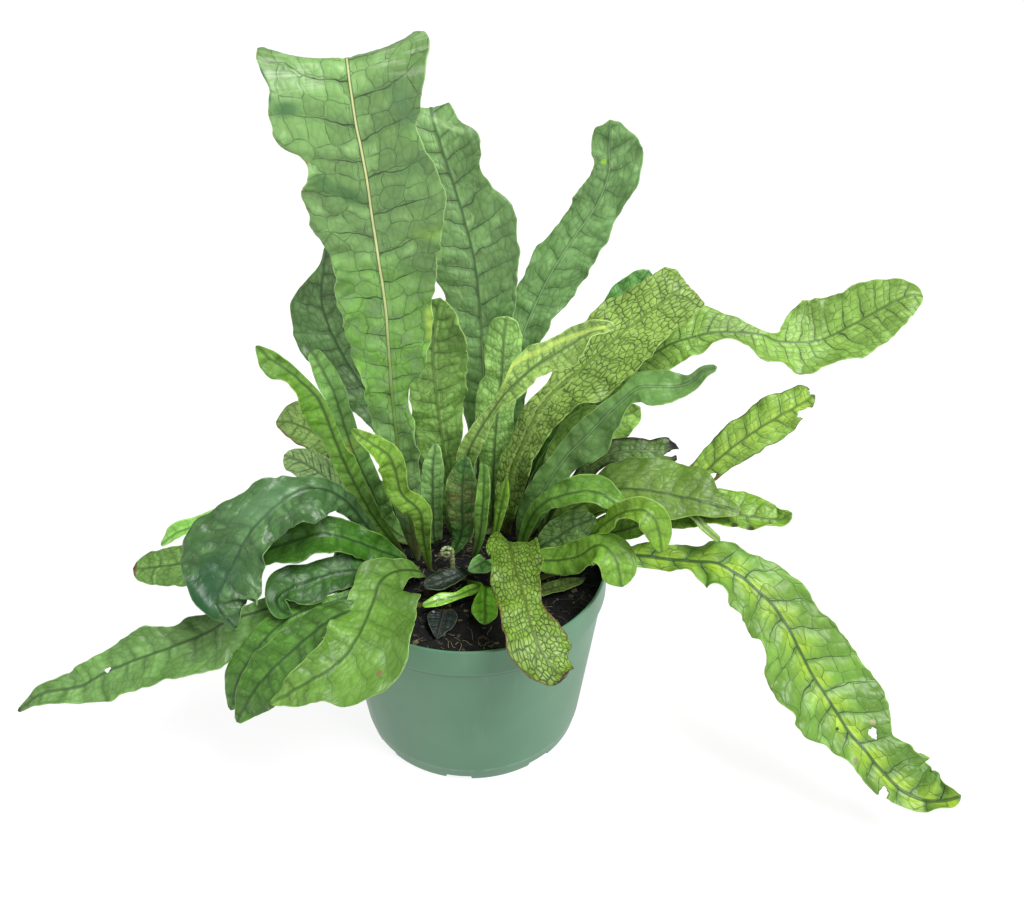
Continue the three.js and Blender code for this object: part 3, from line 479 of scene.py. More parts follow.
         ruffle=(0.8, 4), route=[(530, 515, 20, 8, 8), (548, 483, 18, 9, 10), (567, 456, 16, 7, 9),
         (585, 438, 14, 9, 14), (608, 414, 12, 7, 11), (626, 397, 11, 5, 6), (641, 387, 10, 9, 11),
         (661, 387, 9, 10, 13), (679, 386, 8, 7, 8), (692, 381, 7, 4, 5), (704, 371, 6, 3, 4),
         (717, 367, 5, 1.5, 2)], look=dict(green=(100, 145, 70), gap=14.0, gloss=0.4, bulge=0.3,
         rib=(128, 168, 104), ribLine=0.5, mottleAndShade=0.2, lines=0.25, net=(0.15, 4.0))),
    dict(name="hidden_right_frond", slot="frond_bright_green", foot=(44, 34), lean=0.5, ruffle=(0.8, 4),
         route=[(545, 500, 35, 6, 6), (560, 455, 37, 8, 8), (585, 425, 38, 10, 11), (612, 418, 39, 8, 14.5),
         (630, 413, 39, 6, 10.5), (640, 407, 39, 2, 3)], look=dict(innerLook, green=(153, 200, 92), gap=9.0,
         net=(0.38, 3.0))),
    dict(name="withered_frond", slot="withered_leaf", foot=(42, 22), lean=0.7, ruffle=(1.6, 5),
         route=[(556, 510, 19, 3, 3), (580, 478, 20, 5, 5), (604, 458, 20, 7, 6), (628, 451, 21, 8, 8),
         (652, 451, 21, 7, 9), (668, 451, 21, 8, 9), (679, 449, 21, 5.5, 6)], look=dict(green=(97, 141, 64),
         second=(80, 102, 56), light=(135, 164, 93), vein=(57, 74, 42), rib=(112, 131, 74), gap=9.0,
         margin=((38, 32, 34), 2.2, 0.9), tip=((34, 28, 34), 9), holes=((2, 124, 2.4, 6.5),
         (5.5, 127, 4, 3.4)), net=(0.45, 3.3))),
    dict(name="broad_right_frond", slot="frond_bright_green", foot=(40, 12), lean=0.8, cup=(0.05, 0.05),
         ruffle=(1.4, 4), route=[(560, 520, 7, 6, 5), (590, 500, 4, 10, 8), (615, 490, -2, 17, 12),
         (643, 490, -6, 20, 13), (672, 495, -10, 22, 16), (697, 500, -14, 19, 10), (720, 506, -17, 9, 7),
         (741, 513, -20, 2, 2)], look=dict(lowLook, green=(102, 139, 49), gap=12.0, mottleAndShade=0.3, bulge=0.45,
         net=(0.22, 3.6))),
    dict(name="notched_frond", slot="frond_bright_green", foot=(52, 20), lean=0.6, ruffle=(1, 5),
         route=[(590, 530, 17, 4, 4), (640, 510, 18, 7, 7), (676, 494, 20, 6, 6), (700, 476, 22, 8.5, 7),
         (727, 452, 25, 11.5, 10), (751, 434, 28, 12.5, 12), (778, 417, 31, 14, 12.5),
         (800, 405, 33, 11.5, 7.5), (815, 395, 34, 8.5, 3)], look=dict(green=(139, 182, 74), gap=11.0,
         margin=((60, 64, 34), 0.7, 0.6), holes=((4.7, 109.6, 1.7, 2.4), (-5, 188, 3.4, 4),
         (7.2, 176.4, 4.2, 5)), spots=((8, 110.6, 4, (112, 96, 58)),), tip=((58, 58, 46), 2.6),
         glow=((183, 221, 87), 9, 0.6), net=(0.22, 3.3))),
    dict(name="lower_right_frond", slot="frond_mid_green", foot=(54, 8), lean=0.9, cup=(0.05, 0.05),
         ruffle=(0.8, 4), route=[(585, 540, 5, 4, 4), (625, 530, 1, 8, 7), (665, 518, -5, 10, 8),
         (700, 512, -10, 12, 10), (738, 515, -14, 15, 9), (762, 519, -16, 12, 8), (780, 520, -17, 8, 6),
         (792, 513, -18, 2, 2)], look=dict(green=(124, 170, 53), gap=12.0,
         spots=((9, 129.5, 4, (52, 50, 36)), (8, 120, 2.4, (60, 58, 40))), net=(0.3, 3.3))),
    dict(name="ribbon_leaf", slot="frond_bright_green", foot=(48, 14), lean=0.8, ruffle=(0.2, 2),
         route=[(590, 518, 6, 2, 2), (620, 506, 1, 2, 2), (655, 504, -7, 2, 2), (690, 514, -16, 2, 2),
         (704, 527, -21, 2.5, 2.5), (720, 541, -24, 2, 2)], look=dict(green=(148, 190, 86), gap=8.0,
         net=(0.15, 3.0))),
    dict(name="hanging_tip_frond", slot="frond_bright_green", foot=(61, 4), lean=0.8, ruffle=(0.6, 3),
         route=[(595, 534, -15, 4, 4), (608, 522, -27, 6, 7), (625, 513, -35, 6, 6), (645, 511, -41, 7, 8),
         (656, 522, -45, 8, 9), (660, 536, -47, 7, 7), (662, 552, -49, 2, 2)],
         look=dict(lowLook, green=(120, 169, 43), gap=10.0, net=(0.22, 3.0))),
    dict(name="arching_right_frond", slot="frond_mid_green", foot=(28, 10), lean=0.8, cup=(0.15, 0.15),
         ruffle=(0.8, 4), route=[(530, 520, 2, 4, 4), (546, 502, -4, 6, 5), (570, 494, -9, 9, 7),
         (596, 492, -13, 10, 8), (618, 504, -20, 6, 5), (638, 512, -22, 2, 2)],
         look=dict(lowLook, green=(100, 152, 47), gap=12.0, net=(0.22, 3.3))),
    dict(name="knob_tip_frond", slot="frond_bright_green", foot=(30, -9), lean=0.8, ruffle=(0.6, 3),
         route=[(530, 563, -15, 5, 5), (561, 560, -23, 9, 8), (579, 556, -28, 10, 7),
         (596, 546, -34, 7, 12), (608, 549, -39, 10, 12), (617, 562, -45, 11, 11), (620, 576, -50, 9, 10),
         (622, 587, -53, 3, 3)], look=dict(lowLook, green=(119, 171, 51), gap=10.0, net=(0.22, 3.3))),
    dict(name="drooping_right_frond", slot="frond_bright_green", foot=(42, -6), lean=1, ruffle=(2, 9),
         route=[(582, 560, -14, 4, 4), (606, 555, -16, 6, 6), (634, 555, -17, 8, 7), (666, 559, -20, 9, 7),
         (696, 562, -24, 11, 11), (720, 565, -28, 14, 17), (753, 586, -37, 19, 20), (776, 609, -45, 21, 20),
         (792, 635, -54, 24, 22), (808, 668, -63, 28, 26), (829, 701, -74, 30, 26), (850, 733, -85, 28, 16),
         (870, 757, -94, 20, 13), (888, 778, -101, 22, 11), (908, 794, -107, 24, 9),
         (930, 801, -111, 18, 6), (948, 800, -113, 13, 5), (961, 796, -114, 4, 2)],
         look=dict(green=(111, 158, 62), gap=19.0, slope=0.4, lines=0.95, ribLine=0.8, flank=0.75,
         gloss=0.38, glow=((160, 196, 56), 13, 0.8), patch=((136, 175, 56), 0.5, 0.5, 0.15), bulge=1.8,
         frill=1.5, spots=((5.2, 231.3, 1.3, (40, 50, 30)), (10.6, 249.4, 2.4, (128, 130, 92)),
         (-14.4, 240.5, 1.6, (150, 146, 92))), holes=((-10.6, 246, 2.4, 3.8), (8.8, 272.4, 3.4, 2.2)),
         boxes=0.65, mottleAndShade=0.75, net=(0.11, 4.0))),
    dict(name="netted_front_frond", slot="frond_olive_netted", foot=(16, 6), lean=1.6, ruffle=(1.4, 6),
         route=[(513, 548, -4, 6, 6), (510, 543, -20, 14, 12), (513, 560, -40, 17, 14),
         (519, 580, -56, 12, 15), (526, 604, -72, 9, 15), (533, 630, -86, 13, 17), (543, 653, -97, 16, 15),
         (556, 670, -105, 12, 10), (566, 677, -109, 4, 4)], look=dict(green=(111, 147, 44),
         rib=(82, 98, 28), gap=12.0, lines=0.5, pucker=0.2, margin=((104, 76, 40), 1.2, 0.8),
         tip=((62, 44, 34), 4), bulge=0.4, vein=(30, 42, 14), marginFrom=0.5, net=(0.85, 2.1),
         netLength=1.7)),
    dict(name="broad_left_front_frond", slot="frond_bright_green", foot=(-28, -4), lean=0.9,
         cup=(0.08, 0.08), ruffle=(1.6, 6), route=[(418, 572, -12, 4, 6), (398, 571, -24, 8, 8),
         (382, 580, -36, 20, 15), (375, 597, -48, 25, 13), (369, 613, -59, 27, 15), (358, 637, -76, 30, 17),
         (345, 657, -86, 30, 16), (330, 670, -93, 24, 14), (311, 681, -98, 14, 11), (290, 693, -102, 8, 7),
         (270, 704, -105, 1, 1)], look=dict(green=(104, 150, 56), gap=13.0, lines=0.35, mottleAndShade=0.35,
         spots=((-21.5, 99.9, 2, (120, 102, 70)),), net=(0.19, 3.6))),
    dict(name="left_under_frond", slot="frond_mid_green", foot=(-30, -30), lean=0.9, cup=(0.08, 0.08),
         ruffle=(1, 5), route=[(384, 600, -42, 4, 4), (358, 609, -55, 6, 6), (334, 618, -60, 11, 10),
         (312, 634, -66, 15, 12), (290, 653, -72, 17, 13), (270, 672, -77, 16, 13), (252, 695, -81, 13, 10),
         (237, 722, -84, 2, 2)], look=dict(lowLook, green=(70, 119, 34), gap=12.0, mottleAndShade=1.0,
         net=(0.22, 3.6))),
    dict(name="small_left_frond", slot="frond_mid_green", foot=(-40, -22), lean=0.9, ruffle=(0.8, 4),
         route=[(375, 588, -31, 3, 3), (340, 600, -43, 4, 4), (308, 610, -49, 5, 5), (285, 621, -56, 6, 7),
         (266, 638, -62, 9, 9), (250, 659, -67, 10, 9), (237, 682, -71, 8, 9), (231, 710, -74, 1.5, 1.5)],
         look=dict(lowLook, green=(78, 131, 40), gap=11.0, mottleAndShade=1.0, net=(0.22, 3.3))),
    dict(name="long_left_frond", slot="frond_mid_green", foot=(-44, -14), lean=0.9, ruffle=(1.4, 7),
         route=[(366, 580, -22, 3, 3), (330, 588, -31, 4, 4), (290, 602, -36, 8, 6), (258, 612, -41, 12, 6),
         (228, 622, -46, 20, 7), (203, 635, -51, 21.5, 13), (180, 644, -56, 21.5, 11.5),
         (156, 653, -60, 19.5, 15.5), (128, 663, -64, 16.5, 15.5), (104, 673, -67, 17.5, 11.5),
         (82, 686, -69, 10.5, 11.5), (60, 690, -71, 8.5, 7.5), (40, 695, -72, 6.5, 5),
         (18, 711, -73, 1, 1)], look=dict(lowLook, green=(100, 144, 70), gap=13.0, tip=((34, 26, 30), 3.5),
         holes=((0.8, 178.2, 1.6, 2.2),), mottleAndShade=0.75, net=(0.22, 3.6))),
    dict(name="dark_drooping_frond", slot="frond_deep_green", foot=(-51, 12), lean=1, cup=(-0.05, -0.05),
         ruffle=(1.6, 5), route=[(362, 520, 2, 5, 5), (338, 495, -6, 10, 7), (312, 489, -14, 20, 9),
         (290, 496, -22, 20, 15), (267, 515, -30, 14, 20), (251, 532, -38, 15, 27), (237, 555, -46, 16, 31),
         (226, 578, -54, 21, 28), (218, 600, -62, 23, 15), (224, 615, -66, 15, 4), (236, 628, -68, 3, 2)],
         look=dict(green=(68, 108, 56), gap=13.0, lines=0.32, frill=1.8, gloss=0.42, rough=0.38,
         bands=(((13, 190), (2, 150), 16, (30, 76, 44), 0.8),
         ((8, 128), (6, 96), 12, (122, 162, 120), 0.3)), mottleAndShade=0.85, net=(0.15, 4.0))),
    dict(name="far_left_frond", slot="frond_bright_green", foot=(-57, 17), lean=0.8, cup=(0.08, 0.08),
         ruffle=(0.6, 3), route=[(370, 540, 16, 3, 3), (320, 535, 20, 6, 6), (265, 545, 26, 9, 8),
         (215, 557, 32, 13.5, 11.5), (180, 564, 36, 14.5, 12.5), (150, 568, 39, 10.5, 11.5),
         (133, 569, 40, 6, 7.5)], look=dict(lowLook, green=(109, 156, 68), gap=10.0, tip=((96, 70, 48), 3),
         mottleAndShade=0.85, net=(0.38, 3.3))),
    dict(name="curled_left_leaf", slot="frond_bright_green", foot=(-60, 32), lean=0.7, cup=(0.2, 0.2),
         ruffle=(0.4, 3), route=[(360, 512, 37, 3, 3), (310, 495, 43, 5, 5), (250, 505, 50, 6, 6),
         (205, 523, 56, 6, 6), (178, 533, 60, 5, 6.5), (161, 545, 62, 1.5, 1.5)],
         look=dict(lowLook, green=(156, 225, 101), gap=9.0, net=(0.15, 3.3))),
    dict(name="left_v_frond", slot="frond_mid_green", foot=(-46, 2), lean=0.9, cup=(0.35, 0.35),
         ruffle=(0.8, 4), route=[(402, 560, 0, 4, 3), (378, 550, -6, 7, 8), (350, 540, -12, 11, 10),
         (320, 534, -18, 14, 10), (290, 543, -23, 14, 9), (266, 551, -27, 9, 8), (248, 557, -30, 3, 3)],
         look=dict(lowLook, green=(59, 113, 23), gap=11.0, gloss=0.4, net=(0.15, 3.6))),
    dict(name="left_dark_frond", slot="frond_deep_green", foot=(-46, -6), lean=0.9, cup=(0.08, 0.3),
         ruffle=(1, 4), route=[(388, 572, -14, 4, 4), (360, 571, -24, 10, 9), (335, 573, -31, 11, 10),
         (308, 582, -38, 13, 11), (287, 590, -43, 10, 14), (278, 600, -48, 5, 7), (282, 611, -54, 5, 5),
         (291, 615, -58, 2, 2)], look=dict(lowLook, green=(53, 99, 36), gap=12.0, gloss=0.35,
         net=(0.11, 4.0))),
    dict(name="shade_leaf", slot="frond_deep_green", foot=(-6, -4), lean=1, ruffle=(0.3, 2),
         route=[(463, 573, -13, 3, 3), (450, 578, -18, 6, 6), (436, 583, -22, 6, 6), (423, 586, -26, 2, 2)],
         look=dict(green=(23, 43, 24), gap=10.0, net=(0.22, 3.3))),
    dict(name="inner_blue_leaf", slot="frond_blue_green", foot=(8, 8), lean=0.8, ruffle=(0.2, 2),
         route=[(488, 562, 2, 3, 3), (484, 562, -6, 7, 5), (477, 566, -12, 7, 5), (468, 571, -16, 1, 1)],
         look=dict(green=(130, 193, 102), depth=0.15, gap=10.0, net=(0.22, 3.3))),
    dict(name="spear_leaf", slot="young_lime", foot=(12, 18), lean=0.2, cup=(0.15, 0.15), ruffle=(0.1, 2),
         route=[(496, 532, 14, 2, 2), (500, 512, 12, 3, 3.2), (504, 494, 11, 3, 3.2),
         (507, 476, 10, 0.6, 0.6)], look=dict(green=(140, 195, 65), depth=0.15, gap=9.0, net=(0.22, 3.0))),
    dict(name="mottled_frond", slot="frond_olive_netted", foot=(-12, 16), lean=0.2, ruffle=(0.6, 3),
         route=[(462, 532, 15, 6, 6), (462, 505, 14, 9, 9), (463, 480, 14, 9, 9), (466, 456, 14, 2, 2)],
         look=dict(green=(87, 143, 65), depth=0.15, gap=9.0, patch=((139, 133, 75), 0.6, 0.4, 0.6),
         net=(0.52, 3.0))),
    dict(name="slim_centre_frond", slot="frond_mid_green", foot=(2, 15), lean=0.2, cup=(0.15, 0.15),
         ruffle=(0.3, 3), route=[(480, 535, 10, 3, 3), (483, 505, 8, 5, 4), (484, 485, 7, 4, 4),
         (484, 464, 6, 2, 2)], look=dict(innerLook, green=(119, 171, 70), gap=10.0, net=(0.3, 3.0))),
    dict(name="dark_netted_right_frond", slot="frond_deep_green", foot=(36, 3), lean=0.8, cup=(0.05, 0.05),
         ruffle=(0.8, 3), route=[(540, 548, -2, 4, 4), (556, 538, -5, 10, 7), (574, 527, -8, 10, 8),
         (590, 521, -8, 6, 6), (596, 518, -8, 2, 2)], look=dict(innerLook, green=(116, 159, 79), gap=10.0,
         mottleAndShade=0.9, net=(0.64, 2.8), netLength=1.7)),
    dict(name="sprout_leaf_left", slot="young_lime", foot=(0, -9), lean=1.2, cup=(0.2, 0.2),
         ruffle=(0.6, 4), route=[(480, 586, -19, 2, 2), (469, 591, -25, 3.5, 3.5),
         (457, 596, -31, 2.5, 2.5), (441, 600, -35, 4, 4), (422, 606, -39, 1.5, 1.5)],
         look=dict(youngLook, gap=7.0, bulge=0.35, frill=0.6, lines=0.3, green=(140, 206, 52), depth=0.0,
         net=(0.19, 2.6))),
    dict(name="sprout_leaf_front", slot="young_lime", foot=(12, -15), lean=1.4, cup=(0.15, 0.15),
         ruffle=(0.3, 2), route=[(486, 588, -26, 3, 2), (485, 600, -36, 6, 6), (485, 613, -46, 7, 7),
         (485, 625, -54, 2, 2)], look=dict(youngLook, gap=7.0, bulge=0.35, frill=0.6, lines=0.4,
         green=(120, 196, 34), depth=0.0, net=(0.19, 2.6))),
    dict(name="lime_tip_upper", slot="young_lime", foot=(-52, 20), lean=0.4, cup=(0.2, 0.2),
         ruffle=(0.1, 1), route=[(373, 510, 18, 1.6, 1.6), (362, 494, 18, 2.4, 2.4), (352, 485, 18, 1, 1)],
         look=dict(youngLook, green=(150, 200, 60), gap=6.0, net=(0.15, 2.3))),
    dict(name="lime_tip_lower", slot="young_lime", foot=(-57, 7), lean=0.5, cup=(0.2, 0.2), ruffle=(0.1, 1),
         route=[(350, 538, 2, 1.6, 1.6), (335, 522, -1, 2.6, 2.6), (318, 518, -3, 1.2, 1.2)],
         look=dict(youngLook, green=(146, 198, 58), gap=6.0, net=(0.15, 2.3))),
]
# A blade's own coordinates. The first: mm across, mm along, half width. The second: share across, share
# along, and how far it is still a stem, which becomes 0 above and 1 below once the blade has its thickness.
fieldNames = ("bladePlace", "bladeShare")
boxJitter = 0.55
crownMiddle, crownReach = (0.0, 0.0, 0.105), 0.1
bladeStep = 1.3
tipHalfWidth, narrowTip, thinnest = 0.5, 0.25, 0.08
ribRidges = (0.25, 0.95)  # how far the midrib stands up above the blade and below it
stemHalfWidth, stemHalfThickness, stemShare = 1.6, 1.3, 0.16
edgePhase, wideBlade = 1.9, 9.0
soilTop, seatGap, footDepth = 108.0, 0.3, 2.5
spineSteps, spineEase = 900, 4.5  # eased over about 9 mm, which keeps sharp turns from folding the blade
# the length and height of the small waves along the left edge and the right edge
edgeWaves = (((41, 0.9), (21, 0.8), (12.3, 0.5), (7.1, 0.25), (4.7, 0.12)),
             ((37, 0.9), (23, 0.8), (13.7, 0.5), (7.9, 0.25), (4.3, 0.12)))


# The point on a line of sight that lies this far behind the pot's axis
def onSight(column, row, behind):
    down = math.radians(sight["down"])
    ahead = np.array((0, math.cos(down), -math.sin(down)))
    above = np.array((0, math.sin(down), math.cos(down)))
    middle, eye, focal = sight["middle"], np.array(sight["at"]), sight["focal"]
    way = ahead + np.array((1.0, 0, 0)) * (column - middle[0]) / focal + above * (middle[1] - row) / focal
    return eye + way * (behind - eye[1]) / way[1]


# The midrib, its frames and half widths, finely sampled by length
def frondSpine(frond):
    route = frond["route"]
    places = np.array([(*frond["foot"], soilTop + seatGap)] + [onSight(*row[:3]) for row in route])
    sizes = np.array([(stemHalfWidth, stemHalfWidth)] + [row[3:] for row in route], float)
    share = np.linspace(0, 1, spineSteps)
    middle, size = curveThrough(places, share), curveThrough(sizes, share)
    tangent = unit(np.gradient(middle, axis=0))
    down = math.radians(sight["down"])
    face = unit(np.array((0, -math.cos(down), math.sin(down))) + frond["lean"] * np.array((0, 0, 1)))
    curlFrom = frond["curl"] / (len(places) - 1) if "curl" in frond else 2
    out = unit(face - tangent * (tangent @ face)[:, None])
    for index in np.flatnonzero(share > curlFrom):
        out[index] = unit(out[index - 1] - tangent[index] * (tangent[index] @ out[index - 1]))
    length = lengthAlong(middle)
    even = np.linspace(0, length[-1], spineSteps)
    columns = np.hstack([middle, np.cross(tangent, out), out, size, share[:, None], tangent])
    columns = np.stack([np.interp(even, length, column) for column in columns.T], 1)
    reach = max(1, int(round(spineEase / (length[-1] / (spineSteps - 1)))))
    kernel = np.hanning(2 * reach + 1)
    for column in range(3, 9):
        padded = np.pad(columns[:, column], reach, mode="edge")
        columns[:, column] = np.convolve(padded, kernel / kernel.sum(), mode="valid")
    columns[:, 3:6] = unit(columns[:, 3:6])
    columns[:, 6:9] = unit(columns[:, 6:9])
    return even, columns


# A small wandering value along a length, from a few waves with seeded phases
def wander(place, waves, seed):
    random = np.random.default_rng(seed)
    total = np.zeros_like(place)
    for size, height in waves:
        total += height * np.sin(2 * math.pi * place / size + random.uniform(0, 6.28))
    return total


# The flat blade's points at (share across, length along)
def bladePoints(frond, spine, across, along, seed):
    even, columns = spine
    total = even[-1]
    at = np.stack([np.interp(along, even, column) for column in columns.T], 1)
    middle, right, out, size, share = at[:, :3], at[:, 3:6], at[:, 6:9], at[:, 9:11], at[:, 11]
    middle = middle + at[:, 12:15] * np.minimum(along, 0)[:, None]
    half = np.maximum(tipHalfWidth, np.where(across < 0, size[:, 0], size[:, 1]))
    stem = np.maximum(0, 1 - share / stemShare)
    edge = np.where(across >= 0, wander(along, edgeWaves[1], seed), wander(along, edgeWaves[0], seed + 1))
    half = half + edge * frond["look"]["scallop"] * np.clip((half - 3) / 10, 0, 1.3) * (1 - stem)
    endWidth = max(1.2, columns[-1, 9:11].mean())
    past = np.clip((along - (total - endWidth)) / endWidth, 0, 1)
    half = np.maximum(narrowTip, half * np.sqrt(np.maximum(0, 1 - past ** 2)))
    waveHeight, waves = frond["ruffle"]
    phase = np.where(across < 0, edgePhase, 0)
    wave = waveHeight * np.sin(2 * math.pi * waves * share + phase) * np.minimum(1, half / wideBlade)
    footCup, tipCup = frond["cup"]
    bend = (footCup + (tipCup - footCup) * share ** 2) * half
    rise = across ** 2 * (bend + wave * (1 - stem))
    points = middle + right * (across * half)[:, None] + out * rise[:, None]
    return points, half, stem


# The rows and columns of a blade, with holes cut along their own outlines
def bladeGrid(frond, spine, seed):
    even, columns = spine
    halfColumns = max(3, math.ceil(columns[:, 9:11].max() / bladeStep))
    rows = max(12, math.ceil((even[-1] + footDepth) / bladeStep)) + 1
    along, across = np.linspace(-footDepth, even[-1], rows), np.linspace(-1, 1, 2 * halfColumns + 1)
    across, along = (values.ravel() for values in np.meshgrid(across, along))
    faces = gridFaces(rows, 2 * halfColumns + 1)
    random = np.random.default_rng(seed + 7)
    for holeAcross, holeAlong, reachAcross, reachAlong in frond["look"]["holes"]:
        left, right = (np.interp(along, even, columns[:, side]) for side in (9, 10))
        half = np.where(across < 0, left, right)
        x, y = (across * half - holeAcross) / reachAcross, (along - holeAlong) / reachAlong
        angle = np.arctan2(y, x)
        start = random.uniform(0, 6.28, 2)
        outline = 1 + 0.16 * np.sin(3 * angle + start[0]) + 0.1 * np.sin(7 * angle + start[1])
        radius = np.hypot(x, y) / outline
        inside = radius[faces].mean(1) < 1
        rim = np.intersect1d(faces[inside].ravel(), faces[~inside].ravel())
        rim = rim[(radius[rim] > 0.4) & (np.abs(across[rim]) < 0.999)]
        across[rim] = np.clip((x[rim] / radius[rim] * reachAcross + holeAcross) / half[rim], -1, 1)
        along[rim] = y[rim] / radius[rim] * reachAlong + holeAlong
        faces = faces[~inside]
    return across, along, faces


# The vein pattern, used both for the blade's relief and for its colours. place: across, along, half width.
def leafPattern(wire, place, seed, gap, slope, netCell, netLength):
    across, along, half = place.split()
    size = abs(across)
    side = across.math("GREATER_THAN", across, 0)
    spot = wire.joined(across, along, seed * 37.0)
    drift = spot.noise(0.045, 1.0) - 0.5
    jog = spot.noise(0.13, 1.0) - 0.5
    bow = size * size / (half + 4) * 0.14
    run = (along - size * slope - bow + drift * 11 + jog * 4) / gap + side * 0.4 + seed
    sideVein = run - run.math("FLOOR", run) - 0.5
    sideVein = (0.5 - abs(sideVein)) * gap * 0.94  # mm from the nearest side vein
    # two rows of boxes between one side vein and the next
    box = wire.joined(across / (gap * 0.52) + jog * 0.5 + seed * 5, run * 2 + 0.75, 0.0)
    thread = (along - size * slope * 0.6 + drift * 6) / netLength
    thread = wire.joined(across + jog * 4 + seed * 9, thread, 0.0)
    return dict(across=across, along=along, half=half, size=size, share=size / (half + 0.001), spot=spot,
                side=sideVein, box=box.edges(1.0, boxJitter) * gap * 0.5, tone=box.cells(1.0, boxJitter),
                net=thread.edges(netCell) * netCell, jog=jog)


def leafReliefTree():
    wire, given = newTree("leaf_relief", {
        "vein gap": 16.0, "vein slope": 0.35, "net cell": 5.5, "net length": 1.5, "bulge height": 0.9,
        "pucker height": 0.16, "frill height": 1.0, "frill end": 2.0, "rib groove": 0.5, "seed": 0.0})
    vector = {"data_type": "FLOAT_VECTOR"}
    place, extra = (wire.node("GeometryNodeInputNamedAttribute", vector, {"Name": name}) for name in fieldNames)
    gap, netCell = given["vein gap"], given["net cell"]
    leaf = leafPattern(wire, place, given["seed"], gap, given["vein slope"], netCell, given["net length"])
    _, toTip, stem = extra.split()
    size, share = leaf["size"], leaf["share"]
    fade = leaf["half"].step(2.0, 7.0) * (1 - stem)
    crest, boxes = leaf["side"].step(0.0, gap * 0.4), leaf["box"].step(0.0, gap * 0.18)
    bulge = given["bulge height"] * (crest * 0.6 + boxes * (0.1 + leaf["tone"] * 0.14) - 0.4)
    pucker = given["pucker height"] * leaf["net"].step(0.0, netCell * 0.3)
    groove = given["rib groove"] * (size.fall(0.3, 1.3, 0.55) - size.fall(1.0, 4.5))
    slow = leaf["spot"].noise(0.03, 2.0) - 0.5
    quick = leaf["spot"].noise(0.075, 1.0) - 0.5
    edge = share * share
    frill = slow * 13.0 * edge + quick * 5.0 * edge * share + slow * 3.0 + quick * 1.0
    frill = given["frill height"] * (given["frill end"] - toTip).step(-0.04, 0.06) * frill
    height = ((bulge + pucker) * size.step(0.6, 4.5) + groove + frill) * fade * mm
    offset = wire.node("ShaderNodeVectorMath", {"operation": "SCALE"},
                       {0: wire.node("GeometryNodeInputNormal"), "Scale": height})
    shape = wire.node("GeometryNodeSetPosition", {}, {0: given["Geometry"], "Offset": offset})
    return endTree(wire, shape, given)


# Gives the relief sheet its thickness: a rounded stem below, a thin blade with a raised rib above
def closedBlade(points, place, extra, faces):
    a, b, c, d = (points[faces[:, corner]] for corner in range(4))
    facing = np.cross(c - a, d - b)
    normal = np.zeros_like(points)
    for corner in range(4):
        np.add.at(normal, faces[:, corner], facing)
    normal = unit(normal + 1e-12)
    across, half, stem = place[:, 0], np.maximum(place[:, 2], 0.2), extra[:, 2]
    share = np.clip(np.abs(across) / half, 0, 1)
    stalk = stemHalfThickness * np.sqrt(np.maximum(0, 1 - share ** 2)) * stem
    rib = np.exp(-(across / 1.5) ** 2) * np.clip((half - 1.0) / 6, 0, 1)
    thin = 0.2 + 0.16 * (1 - share ** 4)
    upper, lower = (np.maximum((thin + ridge * rib) * (1 - stem) + stalk, thinnest) for ridge in ribRidges)
    sides = np.vstack([points + normal * (upper * mm)[:, None], points - normal * (lower * mm)[:, None]])
    edges = np.concatenate([faces[:, [corner, (corner + 1) % 4]] for corner in range(4)])
    _, first, count = np.unique(np.sort(edges, 1), axis=0, return_index=True, return_counts=True)
    rim = edges[first[count == 1]]
    number = len(points)
    walls = np.stack([rim[:, 1], rim[:, 0], rim[:, 0] + number, rim[:, 1] + number], 1)
    extra = np.vstack([extra, extra])
    extra[:, 2] = np.arange(2 * number) >= number  # the third value now tells the underside
    faces = np.vstack([faces, faces[:, ::-1] + number, walls])
    used = np.zeros(2 * number, bool)
    used[faces] = True
    return sides[used], (np.cumsum(used) - 1)[faces], np.vstack([place, place])[used], extra[used]


# An sRGB colour made lighter or darker without a change of hue
def shaded(colour, factor):
    return tuple(min(255.0, value * factor ** 0.45) for value in colour)


leafTints = dict(
    pale=(214, 224, 196), dark=(22, 48, 40), ribDark=(30, 70, 48), under=(190, 205, 160), dust=(215, 225, 195),
    streak=(206, 218, 190), crownShade=(8, 26, 14), scaly=(92, 84, 48), rim=(225, 232, 160))


